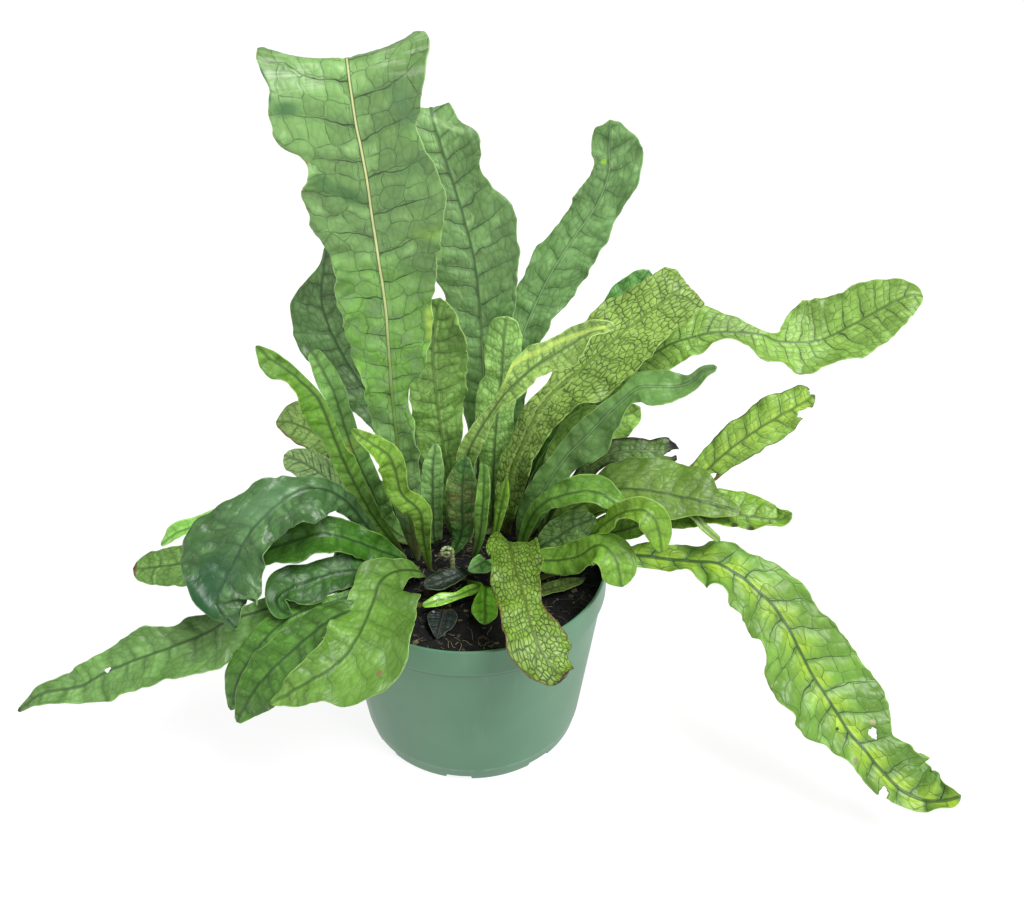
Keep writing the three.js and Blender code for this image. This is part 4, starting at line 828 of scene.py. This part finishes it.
def leafFinish(name, look, total, seed):
    wire, inSpace = newFinish(name)
    green, gap, mottleAndShade = look["green"], look["gap"], look["mottleAndShade"]
    second = look["second"] or shaded(green, 0.66)
    light = look["light"] or mixed(shaded(green, 1.42), leafTints["pale"], 0.16)
    vein = look["vein"] or mixed(shaded(green, 0.2), leafTints["dark"], 0.25)
    rib = look["rib"] or mixed(shaded(green, 0.3), leafTints["ribDark"], 0.2)
    under = look["under"] or mixed(shaded(green, 1.1), leafTints["under"], 0.2)
    place, extra = (wire.node("ShaderNodeAttribute", {"attribute_name": name}, {}, 1) for name in fieldNames)
    netDepth, netCell = look["net"]
    leaf = leafPattern(wire, place, seed, gap, look["slope"], netCell, look["netLength"])
    _, toTip, below = extra.split()
    spot, size, share, half = leaf["spot"], leaf["size"], leaf["share"], leaf["half"]
    side, tone, across, along = leaf["side"], leaf["tone"], leaf["across"], leaf["along"]
    slow, blotch, fine = spot.noise(0.028, 3.0), spot.noise(0.11, 3.0), spot.noise(0.9, 3.0)
    wideFade = half.step(1.5, 4.0)

    colour = wire.blend(slow.step(0.36, 0.64), green, second)
    # a patchwork of lighter and darker boxes, with painted highlights on the crests between the side veins and
    # painted shade in the hollows along them
    crest = side.step(0.4, gap * 0.4) * leaf["box"].step(0.1, gap * 0.16)
    colour = colour.towards(second, tone.fall(0.1, 0.55, 0.9) * mottleAndShade * wideFade)
    colour = colour.towards(light, crest * tone.step(0.45, 1.0) * blotch.step(0.25, 0.65) * mottleAndShade)
    colour = colour.towards(shaded(green, 0.45), side.fall(0.0, gap * 0.2, 0.4) * mottleAndShade * wideFade
                            * share.step(0.1, 1.0, 1.0, 0.3))
    # painted highlight: the raised cells of the fine net are painted lighter
    islands = leaf["net"].step(netCell * 0.07, netCell * 0.3)
    colour = colour.towards(light, islands * netDepth * 0.4)
    glowColour, glowReach, glowStrength = look["glow"]
    beside = size.fall(1.0, glowReach) * side.step(0.3, gap * 0.3) * (0.5 + tone * 0.7)
    colour = colour.towards(glowColour or light, beside * glowStrength * wideFade)
    if look["patch"]:
        patchColour, patchAt, reach, strength = look["patch"]
        near = abs(toTip - patchAt + (slow - 0.5) * 0.3).fall(0.0, reach)
        colour = colour.towards(patchColour, near * blotch.step(0.3, 0.6) * strength)
    # the lines: fine net, rails beside the midrib, box edges and side veins
    strength, broken = look["lines"], spot.noise(0.22, 1.0).step(0.4, 0.6)
    sideLine = (side + share * 0.25).fall(0.24, 0.56) * share.step(0.45, 1.0, 1.0, 0.4)
    railLine = abs(size - 3.6 + leaf["jog"] * 3).fall(0.05, 0.34)
    boxLine = leaf["box"].fall(0.1, 0.38)
    lines = leaf["net"].fall(0.06, 0.3) * netDepth * (0.6 + broken * 0.4)
    for line in (railLine * (strength * 0.6) * broken,
                 boxLine * (strength * look["boxes"]) * (0.6 + broken * 0.4),
                 sideLine * (strength * 1.1) * (0.75 + broken * 0.25)):
        lines = lines.math("MAXIMUM", lines, line)
    lines = lines * wideFade * size.step(0.5, 1.2)
    colour = colour.towards(vein, lines)
    # the midrib's dark flanks, then faint dry scratches and specks, then its paler ridge
    colour = colour.towards(vein, size.fall(0.6, 1.3) * look["flank"])
    scratch = spot.stretched((1.0, 0.22, 1.0)).noise(1.1, 3.0, 0.6).step(0.6, 0.74) * blotch.step(0.42, 0.62)
    colour = colour.towards(mixed(light, leafTints["dust"], 0.5), scratch * 0.4)
    if look["sheen"]:
        sheenAt, reach, strength = look["sheen"]
        streak = spot.stretched((0.09, 1.0, 1.0)).noise(0.5, 3.0, 0.6).step(0.46, 0.62)
        near = abs(toTip - sheenAt).fall(0.0, reach)
        colour = colour.towards(leafTints["streak"], streak * near * share.step(0.15, 0.5) * strength)
    ribHalf = 0.55 * look["ribLine"] * (1.15 - toTip * 0.5)
    ribMask = (size - ribHalf).fall(-0.25, 0.15) * toTip.step(0.8, 1.0, 1.0, 0.3)
    colour = colour.towards(wire.blend(toTip.step(0.3, 0.6), look["ribLow"] or rib, rib), ribMask)
    # paler underside with darker ribs
    lower = wire.blend(slow.step(0.3, 0.7), under, mixed(under, green, 0.4))
    lower = lower.towards(mixed(vein, under, 0.35), lines * 0.8)
    lower = lower.towards(mixed(rib, vein, 0.35), size.fall(0.9, 1.6))
    colour = colour.towards(lower, below)
    # deep in the crown the fronds get painted shade, and the base of each stem is brown and scaly
    crownShade = inSpace.distance(crownMiddle).fall(0.03, crownReach, look["depth"])
    colour = colour.towards(mixed(second, leafTints["crownShade"], 0.75), crownShade)
    colour = colour.towards(leafTints["scaly"], toTip.fall(0.02, 0.11, 0.8) * blotch.step(0.25, 0.6))
    rim = half * (1 - share)
    if look["margin"]:
        (marginColour, width, strength), start = look["margin"], look["marginFrom"]
        edge = (rim + (blotch - 0.5) * 3).fall(0.2, width) * strength * wideFade
        colour = colour.towards(marginColour, edge * toTip.step(start, start + 0.25))
    else:
        # painted highlight: a pale line along the blade's edge where it catches the light
        colour = colour.towards(mixed(light, leafTints["rim"], 0.3), rim.fall(0.1, 0.45, 0.55) * wideFade)
    if look["tip"]:
        tipColour, tipLength = look["tip"]
        end = (along + (blotch - 0.5) * 7).step(total - tipLength, total - tipLength * 0.4)
        colour = colour.towards(tipColour, end * 0.95)
    # painted bands: mostly painted shade in hollows and painted highlights on folds, a few are the leaf's own
    # stripes
    for start, end, width, bandColour, strength in look["bands"]:
        length = math.dist(start, end)
        way = ((end[0] - start[0]) / length, (end[1] - start[1]) / length)
        offAcross, offAlong = across - start[0], along - start[1]
        onWay = offAcross * way[0] + offAlong * way[1]
        mask = abs(offAcross * way[1] - offAlong * way[0] + (slow - 0.5) * width).fall(width * 0.25, width)
        mask = mask * onWay.step(-width, width) * onWay.fall(length - width, length + width)
        colour = colour.towards(bandColour, mask * strength)
    for spotAcross, spotAlong, reach, spotColour in look["spots"]:
        away = wire.joined(across, along, 0.0).distance((spotAcross, spotAlong, 0.0))
        mark = (away + (blotch - 0.5) * reach * 1.6).fall(reach * 0.5, reach, 0.92)
        colour = colour.towards(spotColour, mark)
    rough = look["rough"] + (blotch - 0.5) * 0.22 + below * 0.14 + lines * 0.08
    height = (islands * 0.3 + crest * 0.5 - lines * 1.1 + fine * 0.22) * wideFade + fine * 0.08
    return endFinish(wire, colour, rough, look["gloss"], height, 0.6, 0.35)


# A flat sheet becomes a finished blade: relief, thickness, colours
def finishBlade(name, slot, look, points, faces, place, extra, total, seed):
    finish = leafFinish(name + "_finish", look, total, seed)
    sheet = newPiece(name + "_blade", points * mm, faces)
    setFields(sheet.data, place, extra)
    mesh = grown(sheet, reliefTree, {
        "vein gap": look["gap"], "vein slope": look["slope"], "net cell": look["net"][1],
        "net length": look["netLength"], "bulge height": look["bulge"], "pucker height": look["pucker"],
        "frill height": look["frill"], "frill end": look["frillEnd"], "seed": seed, "finish": finish})
    place, extra = (readRows(mesh.attributes[field].data, "vector") for field in fieldNames)
    points, faces, place, extra = closedBlade(readRows(mesh.vertices, "co"), place, extra, faces)
    bpy.data.meshes.remove(mesh)
    bpy.data.objects.remove(sheet)
    piece = newPiece(name + "_blade", points, faces, finish)
    setFields(piece.data, place, extra)
    settle(piece, slot, name)


def makeFrond(number, frond):
    frond = {"cup": (0.1, 0.1), **frond, "look": {**leafLook, **frond["look"]}}
    seed = number * 11 + 5
    spine = frondSpine(frond)
    across, along, faces = bladeGrid(frond, spine, seed)
    points, half, stem = bladePoints(frond, spine, across, along, seed)
    total = spine[0][-1]
    finishBlade(frond["name"], frond["slot"], frond["look"], points, faces,
                np.stack([across * half, along, half], 1), np.stack([across, along / total, stem], 1), total,
                number * 0.618)


reliefTree = leafReliefTree()
for number, frond in enumerate(fronds):
    makeFrond(number, frond)
print("fronds ready:", len(fronds))

# Two fallen leaves on the potting mix. rows: x, y, height over the mix, half width
fallenLeaves = [
    dict(name="dead_leaf", slot="withered_leaf",
         rows=[(-14, -35, 0.5, 4.5), (-14.5, -42, 1.5, 8.5), (-15.5, -50, 2.0, 7.0), (-16.5, -57, 1.0, 3.0),
               (-17, -60, 0.4, 0.5)],
         look=dict(green=(30, 38, 38), second=(22, 28, 29), light=(52, 62, 64), vein=(16, 17, 17),
                   rib=(60, 60, 54), under=(60, 56, 48), gap=6.0, bulge=0.5, frill=0.6, gloss=0.6, rough=0.36,
                   depth=0.0, mottleAndShade=0.4)),
    dict(name="soil_leaf_right", slot="withered_leaf",
         rows=[(38, -22.5, 0.4, 1.8), (46, -19, 1.2, 5.0), (56, -15.5, 2.0, 5.2), (64, -11, 1.4, 3.6),
               (69.5, -6, 0.5, 0.7)],
         look=dict(green=(122, 154, 64), second=(96, 122, 54), light=(150, 176, 96), vein=(52, 62, 36),
                   rib=(96, 104, 66), under=(96, 92, 66), gap=5.0, bulge=0.4, frill=0.5, depth=0.0,
                   tip=((60, 48, 36), 5.0)))]
fallenStep, fallenCurl, fallenRise, fallenSeed = 0.6, 1.1, 0.6, 60.3


def makeFallenLeaf(number, leaf):
    share = np.linspace(0, 1, 80)
    spine = curveThrough(leaf["rows"], share)
    length = lengthAlong(spine[:, :3])
    half = np.maximum(spine[:, 3], 0.4)
    spine[:, 2] += soilTop + seatGap + fallenRise
    aside = unit(np.cross(np.gradient(spine[:, :3], axis=0), (0, 0, 1.0)))
    rows, columns = len(share), 2 * math.ceil(half.max() / fallenStep) + 1
    across, total = np.tile(np.linspace(-1, 1, columns), rows), length[-1]
    spine, aside, half, length, share = (np.repeat(value, columns, 0)
                                         for value in (spine, aside, half, length, share))
    points = spine[:, :3] + aside * (across * half)[:, None]
    points[:, 2] += fallenCurl * across ** 2 * np.minimum(half / 6, 1)
    finishBlade(leaf["name"], leaf["slot"], {**leafLook, **leaf["look"]}, points, gridFaces(rows, columns),
                np.stack([across * half, length, half], 1), np.stack([across, share, 0 * share], 1), total,
                fallenSeed + number)


for number, leaf in enumerate(fallenLeaves):
    makeFallenLeaf(number, leaf)
print("fallen leaves ready")

youngFrond = dict(
    foot=(-14.0, 2.0), height=15.0, coil=3.4, shrink=0.62, sideways=3.6, turns=1.4, thick=1.5, thin=0.8,
    rings=170, sides=18, cream=(198, 204, 168), green=(104, 140, 72), brown=(122, 96, 60),
    straw=(214, 200, 160), scales={"per square cm": 110.0, "size": 1.1, "seed": 2})


# A tapering round sweep along a path, closed at both ends
def sweep(path, radii, sides):
    tangent = unit(np.gradient(path, axis=0))
    right = np.zeros_like(path)
    right[0] = unit(np.cross(tangent[0], (0.2, 1.0, 0.1)))
    for index in range(1, len(path)):
        right[index] = unit(right[index - 1] - tangent[index] * (tangent[index] @ right[index - 1]))
    up = np.cross(tangent, right)
    angle = 2 * math.pi * np.arange(sides)[None, :, None] / sides
    around = right[:, None] * np.cos(angle) + up[:, None] * np.sin(angle)
    rings = path[:, None] + radii[:, None, None] * around
    return np.vstack([rings.reshape(-1, 3), path[:1], path[-1:]]), tubeFaces(len(path), sides)


def budFinish():
    wire, place = newFinish("rolled_bud")
    band = place.stretched((1.0, 1.0, 2.6)).noise(520.0)
    fleck = place.noise(1900.0)
    colour = wire.blend(band.step(0.42, 0.56), youngFrond["cream"], youngFrond["green"])
    colour = colour.towards(youngFrond["brown"], fleck.step(0.6, 0.7) * 0.6)
    return endFinish(wire, colour, 0.45 + (fleck - 0.5) * 0.3, 0.4, fleck + band, 0.5, 0.3)


def scaleFinish():
    wire, place = newFinish("stem_scales")
    tone, brown = place.noise(900.0), youngFrond["brown"]
    colour = wire.blend(tone.step(0.4, 0.6), brown, mixed(brown, youngFrond["straw"], 0.5))
    return endFinish(wire, colour, 0.6 + (tone - 0.5) * 0.2, 0.3)


# Thin pointed scales that lie along a young stem
def scaleTree():
    wire, given = newTree("stem_scales", {"per square cm": 100.0, "size": 1.0, "seed": 0})
    cone = wire.node("GeometryNodeMeshCone", {"fill_type": "NGON"},
                     {"Vertices": 4, "Radius Top": 0.02, "Radius Bottom": 0.16, "Depth": 1.0})
    scales = strewn(wire, given, cone, ((0.0, 0.5, 0.0), (0.9, 1.3, 6.28)), (0.5, 1.2), (1.0, 0.4, 1.0))
    return endTree(wire, scales, given)


def makeYoungFrond():
    p = youngFrond
    (x, y), base, top = p["foot"], soilTop + seatGap, soilTop + seatGap + p["height"]
    share = np.linspace(0, 1, 14)
    angle, radius = 2 * math.pi * p["turns"] * share, p["coil"] * (1 - p["shrink"] * share)
    stem = [(x + p["coil"], y, base + p["height"] * step) for step in (-0.1, 0.2, 0.5, 0.8)]
    coil = np.stack([x + radius * np.cos(angle), y - p["sideways"] * share, top + radius * np.sin(angle)], 1)
    along = np.linspace(0, 1, p["rings"])
    path = curveThrough(np.vstack([stem, coil]), along)
    ripple = 1 + 0.06 * np.sin(along * 150) + 0.05 * np.sin(along * 61)
    radii = (p["thick"] + (p["thin"] - p["thick"]) * along) * ripple
    radii[-8:] *= np.sqrt(np.linspace(1, 0.05, 8))
    points, faces = sweep(path, radii, p["sides"])
    settle(newPiece("fiddlehead_coil", points * mm, faces, budFinish()), "rolled_bud", "fiddlehead")
    scales = newPiece("fiddlehead_scales", points * mm, faces)
    wearMesh(scales, grown(scales, scaleTree(), {**p["scales"], "finish": scaleFinish()}))
    settle(scales, "rolled_bud")


makeYoungFrond()
print("young frond ready")

nurseryPot = dict(
    green=(88, 132, 102), shade=(72, 116, 88), dust=(140, 164, 142), deep=(48, 88, 66),
    rim=82.5, height=120.0, collar=18.0, collarStep=1.3, foot=66.5, heel=(68.6, 10.0), wall=1.7, base=2.0,
    segments=240, slots=8, slotWidth=17.0, slotHeight=4.0, slotDepth=8.0, slotTurn=-6.0, sharpAngle=38,
    darkerBelow=45.0)
neckRadius = nurseryPot["rim"] - nurseryPot["collarStep"] - 0.5
neckHeight = nurseryPot["height"] - nurseryPot["collar"]


# A profile of (radius, height, rounding) with each corner rounded by an arc
def rounded(profile, steps=5):
    points = []
    for index, (radius, height, rounding) in enumerate(profile):
        here = np.array((radius, height))
        if rounding == 0 or index in (0, len(profile) - 1):
            points.append(here)
            continue
        back, on = (np.array(profile[index + way][:2]) - here for way in (-1, 1))
        reach = min(rounding, 0.45 * np.linalg.norm(back), 0.45 * np.linalg.norm(on))
        start, end = here + unit(back) * reach, here + unit(on) * reach
        for share in np.linspace(0, 1, steps + 1):
            points.append(start * (1 - share) ** 2 + 2 * here * share * (1 - share) + end * share ** 2)
    return points


# Turns a profile about the Z axis, from one point on the axis to another
def turnedShape(profile, segments):
    profile = np.array(profile, float)
    angle = 2 * math.pi * np.arange(segments) / segments
    body = profile[1:-1]
    rings = np.stack([body[:, :1] * np.cos(angle), body[:, :1] * np.sin(angle),
                      np.repeat(body[:, 1:], segments, 1)], 2).reshape(-1, 3)
    points = np.vstack([rings, (0, 0, profile[0, 1]), (0, 0, profile[-1, 1])])
    return points, tubeFaces(len(body), segments)


# The boxes that cut the drain slots out of the pot's foot
def slotCutters():
    p = nurseryPot
    corners = ((-0.5, -3.0), (0.5, -3.0), (0.44, p["slotHeight"]), (-0.44, p["slotHeight"]))
    points = []
    for count in range(p["slots"]):
        angle = math.radians(p["slotTurn"] - 90 + 360 * count / p["slots"])
        out = np.array((math.cos(angle), math.sin(angle), 0))
        aside = np.array((-math.sin(angle), math.cos(angle), 0))
        points += [out * (p["foot"] + depth) + aside * across * p["slotWidth"] + np.array((0, 0, height))
                   for depth in (-p["slotDepth"], p["slotDepth"]) for across, height in corners]
    sides = ((3, 2, 1, 0), (4, 5, 6, 7), (1, 5, 4, 0), (2, 6, 5, 1), (3, 7, 6, 2), (0, 4, 7, 3))
    boxes = [[8 * box + corner for corner in side] for box in range(p["slots"]) for side in sides]
    return newPiece("slot_cutters", np.array(points) * mm, boxes)


def potProfile():
    p = nurseryPot
    rim, foot, wall, (heel, heelHeight) = p["rim"], p["foot"], p["wall"], p["heel"]
    outside = [(0, 0, 0), (foot - 3, 0, 0.4), (foot - 1.4, 0, 0.5), (foot, 1.4, 0.6),
               (heel - 0.1, heelHeight - 0.6, 0.3), (heel, heelHeight, 0.5)]
    outside += [(heel + (neckRadius - heel) * share, heelHeight + (neckHeight - 1 - heelHeight) * share, 0)
                for share in np.linspace(0.04, 0.96, 22)]
    outside += [(neckRadius, neckHeight - 1, 0.8), (rim - 0.6, neckHeight, 0.5),
                (rim - 0.1, neckHeight + 0.8, 0.5)]
    outside += [(rim - 0.1 + 0.1 * share, neckHeight + 2 + (p["collar"] - 4) * share, 0)
                for share in np.linspace(0, 1, 6)]
    outside += [(rim, p["height"] - 0.2, 0.7), (rim - wall, p["height"] - 0.1, 0.7)]
    inside = [(rim - wall, neckHeight + 1, 0.8), (neckRadius - wall, neckHeight - 2, 0.8),
              (heel - wall, heelHeight + 0.3, 0.5), (foot - wall, 2.8, 0.5),
              (foot - 2.5 - wall, p["base"], 0.5), (0, p["base"], 0)]
    return rounded(outside + inside)


def makePot():
    points, faces = turnedShape(potProfile(), nurseryPot["segments"])
    pot, cutter = newPiece("nursery_pot_shell", points * mm, faces), slotCutters()
    cut = pot.modifiers.new("slots", "BOOLEAN")
    cut.operation, cut.object, cut.solver = "DIFFERENCE", cutter, "EXACT"
    mesh = plainMesh(pot, cut)
    wearMesh(pot, mesh)
    bpy.data.objects.remove(cutter)
    mesh.materials.clear()
    mesh.materials.append(potFinish())
    mesh.polygons.foreach_set("use_smooth", [True] * len(mesh.polygons))
    mesh.set_sharp_from_angle(angle=math.radians(nurseryPot["sharpAngle"]))
    settle(pot, "green_pot_plastic", "nursery_pot")


def potFinish():
    wire, place = newFinish("green_pot_plastic")
    p = nurseryPot
    _, _, height = place.split()
    slow, grain = place.noise(14.0, 3.0), place.noise(900.0, 3.0, 0.6)
    streaks = place.stretched((1.0, 1.0, 0.12)).noise(140.0, 3.0)
    colour = wire.blend(slow.step(0.35, 0.65), p["green"], mixed(p["green"], p["shade"], 0.45))
    # darker towards the bottom
    low = height.fall(0.0, p["darkerBelow"] * mm)
    colour = colour.towards(p["shade"], low * 0.35)
    dusty = streaks.step(0.52, 0.72) * place.noise(30.0).step(0.4, 0.7)
    colour = colour.towards(p["dust"], dusty * 0.16)
    scuff = place.stretched((1.0, 1.0, 2.2)).noise(260.0, 4.0, 0.7).step(0.66, 0.74)
    colour = colour.towards(p["dust"], scuff * (low * 0.3 + 0.06))
    # a paler broken ring at the heel, and painted shade under the collar: a darker line where the collar
    # overhangs
    ring = abs(height - (p["heel"][1] + 0.4) * mm).fall(0.3 * mm, 1.2 * mm) * streaks.step(0.3, 0.6)
    colour = colour.towards(p["dust"], ring * 0.4)
    under = abs(height - (neckHeight - 1.2) * mm).fall(0.4 * mm, 1.8 * mm)
    colour = colour.towards(p["deep"], under * 0.5)
    rough = 0.4 + (slow - 0.5) * 0.12 + dusty * 0.12 + scuff * 0.1
    return endFinish(wire, colour, rough, 0.45, grain * 0.4 + streaks * 0.5, 0.12, 0.12)


makePot()
print("pot ready")

pottingMix = dict(
    top=107.4, edge=80.2, segments=180, ringStep=1.35, heave=3.2, inset=2.4, looseReach=78.5,
    dark=(13, 15, 16), brown=(28, 28, 26), tan=(126, 114, 84),
    fibreDark=(84, 74, 56), fibreLight=(166, 150, 116),
    crumbs={"per square cm": 19.0, "size": 1.5, "flatness": 0.8, "length": 1.1, "seed": 3},
    chips={"per square cm": 2.0, "size": 2.5, "flatness": 0.42, "length": 1.7, "seed": 8},
    fibres={"per square cm": 1.5, "size": 9.0, "thickness": 0.22, "seed": 5})


def soilFinish():
    wire, place = newFinish("potting_mix")
    dark, brown, tan = pottingMix["dark"], pottingMix["brown"], pottingMix["tan"]
    clump, grain = place.noise(160.0, 4.0, 0.65), place.noise(900.0, 4.0, 0.7)
    colour = wire.blend(clump.step(0.4, 0.68), dark, brown)
    colour = colour.towards(mixed(brown, dark, 0.4), place.cells(0.0032).step(0.3, 0.9) * 0.6)
    colour = colour.towards(tan, grain.step(0.66, 0.76) * clump.step(0.45, 0.6) * 0.7)
    return endFinish(wire, colour, 0.84 + (grain - 0.5) * 0.2, 0.3, clump + grain * 0.6, 0.9, 1.2)


def chipFinish():
    wire, place = newFinish("bark_and_root_bits")
    dark, brown, tan = pottingMix["dark"], pottingMix["brown"], pottingMix["tan"]
    tone, grain = place.cells(0.0045), place.noise(700.0, 3.0, 0.6)
    colour = wire.blend(tone.step(0.25, 0.75), mixed(dark, brown, 0.55), mixed(brown, tan, 0.45))
    colour = colour.towards(tan, tone.step(0.8, 0.9) * 0.8)
    colour = colour.towards(dark, grain.step(0.5, 0.75) * 0.5)
    return endFinish(wire, colour, 0.75 + (grain - 0.5) * 0.2, 0.35, grain, 0.5, 0.4)


def fibreFinish():
    wire, place = newFinish("root_fibres")
    colour = wire.blend(place.noise(60.0).step(0.35, 0.65), pottingMix["fibreDark"], pottingMix["fibreLight"])
    return endFinish(wire, colour, 0.7 + (place.noise(500.0) - 0.5) * 0.2, 0.35)


def heaveTree():
    wire, given = newTree("soil_heave", {"heave height": 3.0, "level": 0.1})
    place = wire.node("GeometryNodeInputPosition")
    x, y, z = place.split()
    reach = x.math("SQRT", x * x + y * y)
    top = z.math("GREATER_THAN", z, given["level"] - 0.001)
    lift = ((place.noise(38.0) - 0.5) * 2.4 + (place.noise(150.0, 3.0, 0.6) - 0.5) * 1.6
            + (place.noise(420.0, 2.0, 0.6) - 0.5) * 0.7)
    edge = pottingMix["edge"] * mm
    lift = lift * given["heave height"] * top * reach.step(edge - 0.7 * mm, edge - 3.2 * mm) * mm
    shape = wire.node("GeometryNodeSetPosition", {},
                      {0: given["Geometry"], "Offset": wire.joined(0.0, 0.0, lift)})
    return endTree(wire, shape, given)


# Lumps of one small rock, each turned, sized and dented
def crumbTree():
    wire, given = newTree("soil_crumbs", {
        "per square cm": 10.0, "size": 1.5, "flatness": 0.7, "length": 1.2, "seed": 0})
    rock = wire.node("GeometryNodeMeshIcoSphere", {}, {"Radius": 0.5, "Subdivisions": 1})
    long = randomly(wire, 0.6, 1.0, given["seed"] + 2)
    lumps = strewn(wire, given, rock, ((-0.5, -0.5, 0.0), (0.5, 0.5, 6.28)), (0.35, 1.5),
                   (given["length"] * (1.6 - long * 0.6), 1.0, given["flatness"] * long))
    return endTree(wire, dented(wire, lumps, 900.0, (0.9, 0.9, 0.7)), given)


# Thin roots: bent threads lying on the soil
def fibreTree():
    wire, given = newTree("soil_fibres", {"per square cm": 3.0, "size": 9.0, "thickness": 0.22, "seed": 0})
    thread = wire.node("GeometryNodeCurvePrimitiveBezierSegment", {},
                       {"Resolution": 8, "Start": (-0.5, 0.0, 0.0), "Start Handle": (-0.2, 0.3, 0.12),
                        "End Handle": (0.2, -0.25, 0.1), "End": (0.5, 0.1, 0.0)})
    turns = ((-0.35, -0.35, 0.0), (0.35, 0.35, 6.28))
    threads = strewn(wire, given, thread, turns, (0.4, 1.5), (1.0, 1.0, 1.0))
    bent = dented(wire, threads, 260.0, (4.0, 4.0, 1.6), 0.2)
    outline = wire.node("GeometryNodeCurvePrimitiveCircle", {},
                        {"Resolution": 5, "Radius": given["thickness"] * mm * 0.5})
    tube = wire.node("GeometryNodeCurveToMesh", {}, {0: bent, "Profile Curve": outline, "Fill Caps": True})
    return endTree(wire, wire.node("GeometryNodeSetShadeSmooth", {}, {0: tube}), given)


def makeSoil():
    p, foot, (heel, heelHeight) = pottingMix, nurseryPot["foot"], nurseryPot["heel"]
    inset, top, edge = p["inset"], p["top"], p["edge"]
    profile = [(0, 2.3), (foot - 2.5 - inset, 2.3), (foot - inset, 2.9), (heel - inset, heelHeight + 0.4),
               (neckRadius - inset, neckHeight - 2), (edge - 0.3, neckHeight + 2), (edge, top - 1.2)]
    profile += [(edge - step, top) for step in np.arange(1.0, edge - 2, p["ringStep"])] + [(0, top)]
    points, faces = turnedShape(profile, p["segments"])
    soil = newPiece("potting_mix_bed", points * mm, faces)
    mesh = grown(soil, heaveTree(), {
        "heave height": p["heave"], "level": (top - 0.5) * mm, "finish": soilFinish()})
    wearMesh(soil, mesh)
    settle(soil, "potting_mix", "potting_mix")
    # only the top carries loose bits
    points = readRows(mesh.vertices, "co")
    topFaces = [list(face.vertices) for face in mesh.polygons
                if points[list(face.vertices), 2].min() > (top - 4) * mm
                and math.hypot(*face.center[:2]) < p["looseReach"] * mm]
    for name, tree, finish, values in (("soil_crumbs", crumbTree, soilFinish, p["crumbs"]),
                                       ("bark_chips", crumbTree, chipFinish, p["chips"]),
                                       ("root_fibres", fibreTree, fibreFinish, p["fibres"])):
        bits = newPiece(name, points, topFaces)
        wearMesh(bits, grown(bits, tree(), {**values, "finish": finish()}))
        settle(bits, "potting_mix")


makeSoil()
print("potting mix ready")

oldStump = dict(at=(-24.0, -19.0), radius=3.6, top=3.2, height=5.0, sunk=1.2, sides=40,
                bark=(74, 62, 44), wood=(150, 132, 92), pith=(96, 84, 58))


def stumpFinish():
    wire, place = newFinish("old_stem")
    p = oldStump
    x, y, _ = place.split()
    x, y = x - p["at"][0] * mm, y - p["at"][1] * mm
    reach = x.math("SQRT", x * x + y * y) / mm
    grain, rings = place.noise(900.0, 3.0), reach.math("SINE", reach * 5)
    colour = wire.blend(reach.step(1.0, 2.2), p["pith"], p["wood"])
    colour = colour.towards(p["pith"], rings.step(0.2, 1.0) * 0.4)
    colour = colour.towards(p["bark"], reach.step(2.5, 2.9))
    colour = colour.towards(mixed(p["bark"], (10, 10, 10), 0.6), grain.step(0.5, 0.66) * 0.7)
    return endFinish(wire, colour, 0.75 + (grain - 0.5) * 0.2, 0.3, grain + rings * 0.2, 0.7, 0.5)


def makeStump():
    p = oldStump
    radius, top, height, at = p["radius"], p["top"], p["height"], np.array(p["at"])
    profile = [(0, 0, 0), (radius - 0.2, 0, 0.2), (radius, 0.4, 0.2)]
    profile += [(radius + (top - radius) * share + 0.12 * math.sin(share * 19), height * share, 0)
                for share in np.linspace(0.15, 0.9, 12)]
    profile += [(top, height - 0.1, 0.5), (top - 0.7, height - 0.05, 0.3)]
    profile += [(top - 0.7 - step, height - 0.35 + 0.1 * math.sin(step * 7), 0)
                for step in np.linspace(0.15, 2.2, 9)]
    profile += [(0, height - 0.4, 0)]
    points, faces = turnedShape(rounded(profile, 3), p["sides"])
    angle = np.arctan2(points[:, 1], points[:, 0])
    swell = 1 + 0.05 * np.sin(3 * angle + 1) + 0.03 * np.sin(7 * angle)
    points[:, :2] = points[:, :2] * swell[:, None] + at
    points[:, 2] += soilTop + seatGap - p["sunk"]
    points[:, 2] += p["sunk"] * np.maximum(points[:, 2] - soilTop, 0) / height
    settle(newPiece("old_stem_stub", points * mm, faces, stumpFinish()), "old_stem", "old_stem_stump")


makeStump()
print("old stem ready")

half = studio["floorSize"] / 2
wire, _ = newFinish("pale_floor")
floorFinish = endFinish(wire, studio["floorColour"], 0.9, 0.1, more={
    "Emission Color": (1, 1, 1, 1), "Emission Strength": studio["floorGlow"]})
floor = newPiece("studio_floor", [(-half, -half, 0), (half, -half, 0), (half, half, 0), (-half, half, 0)],
                 [(0, 1, 2, 3)], floorFinish, smooth=False)
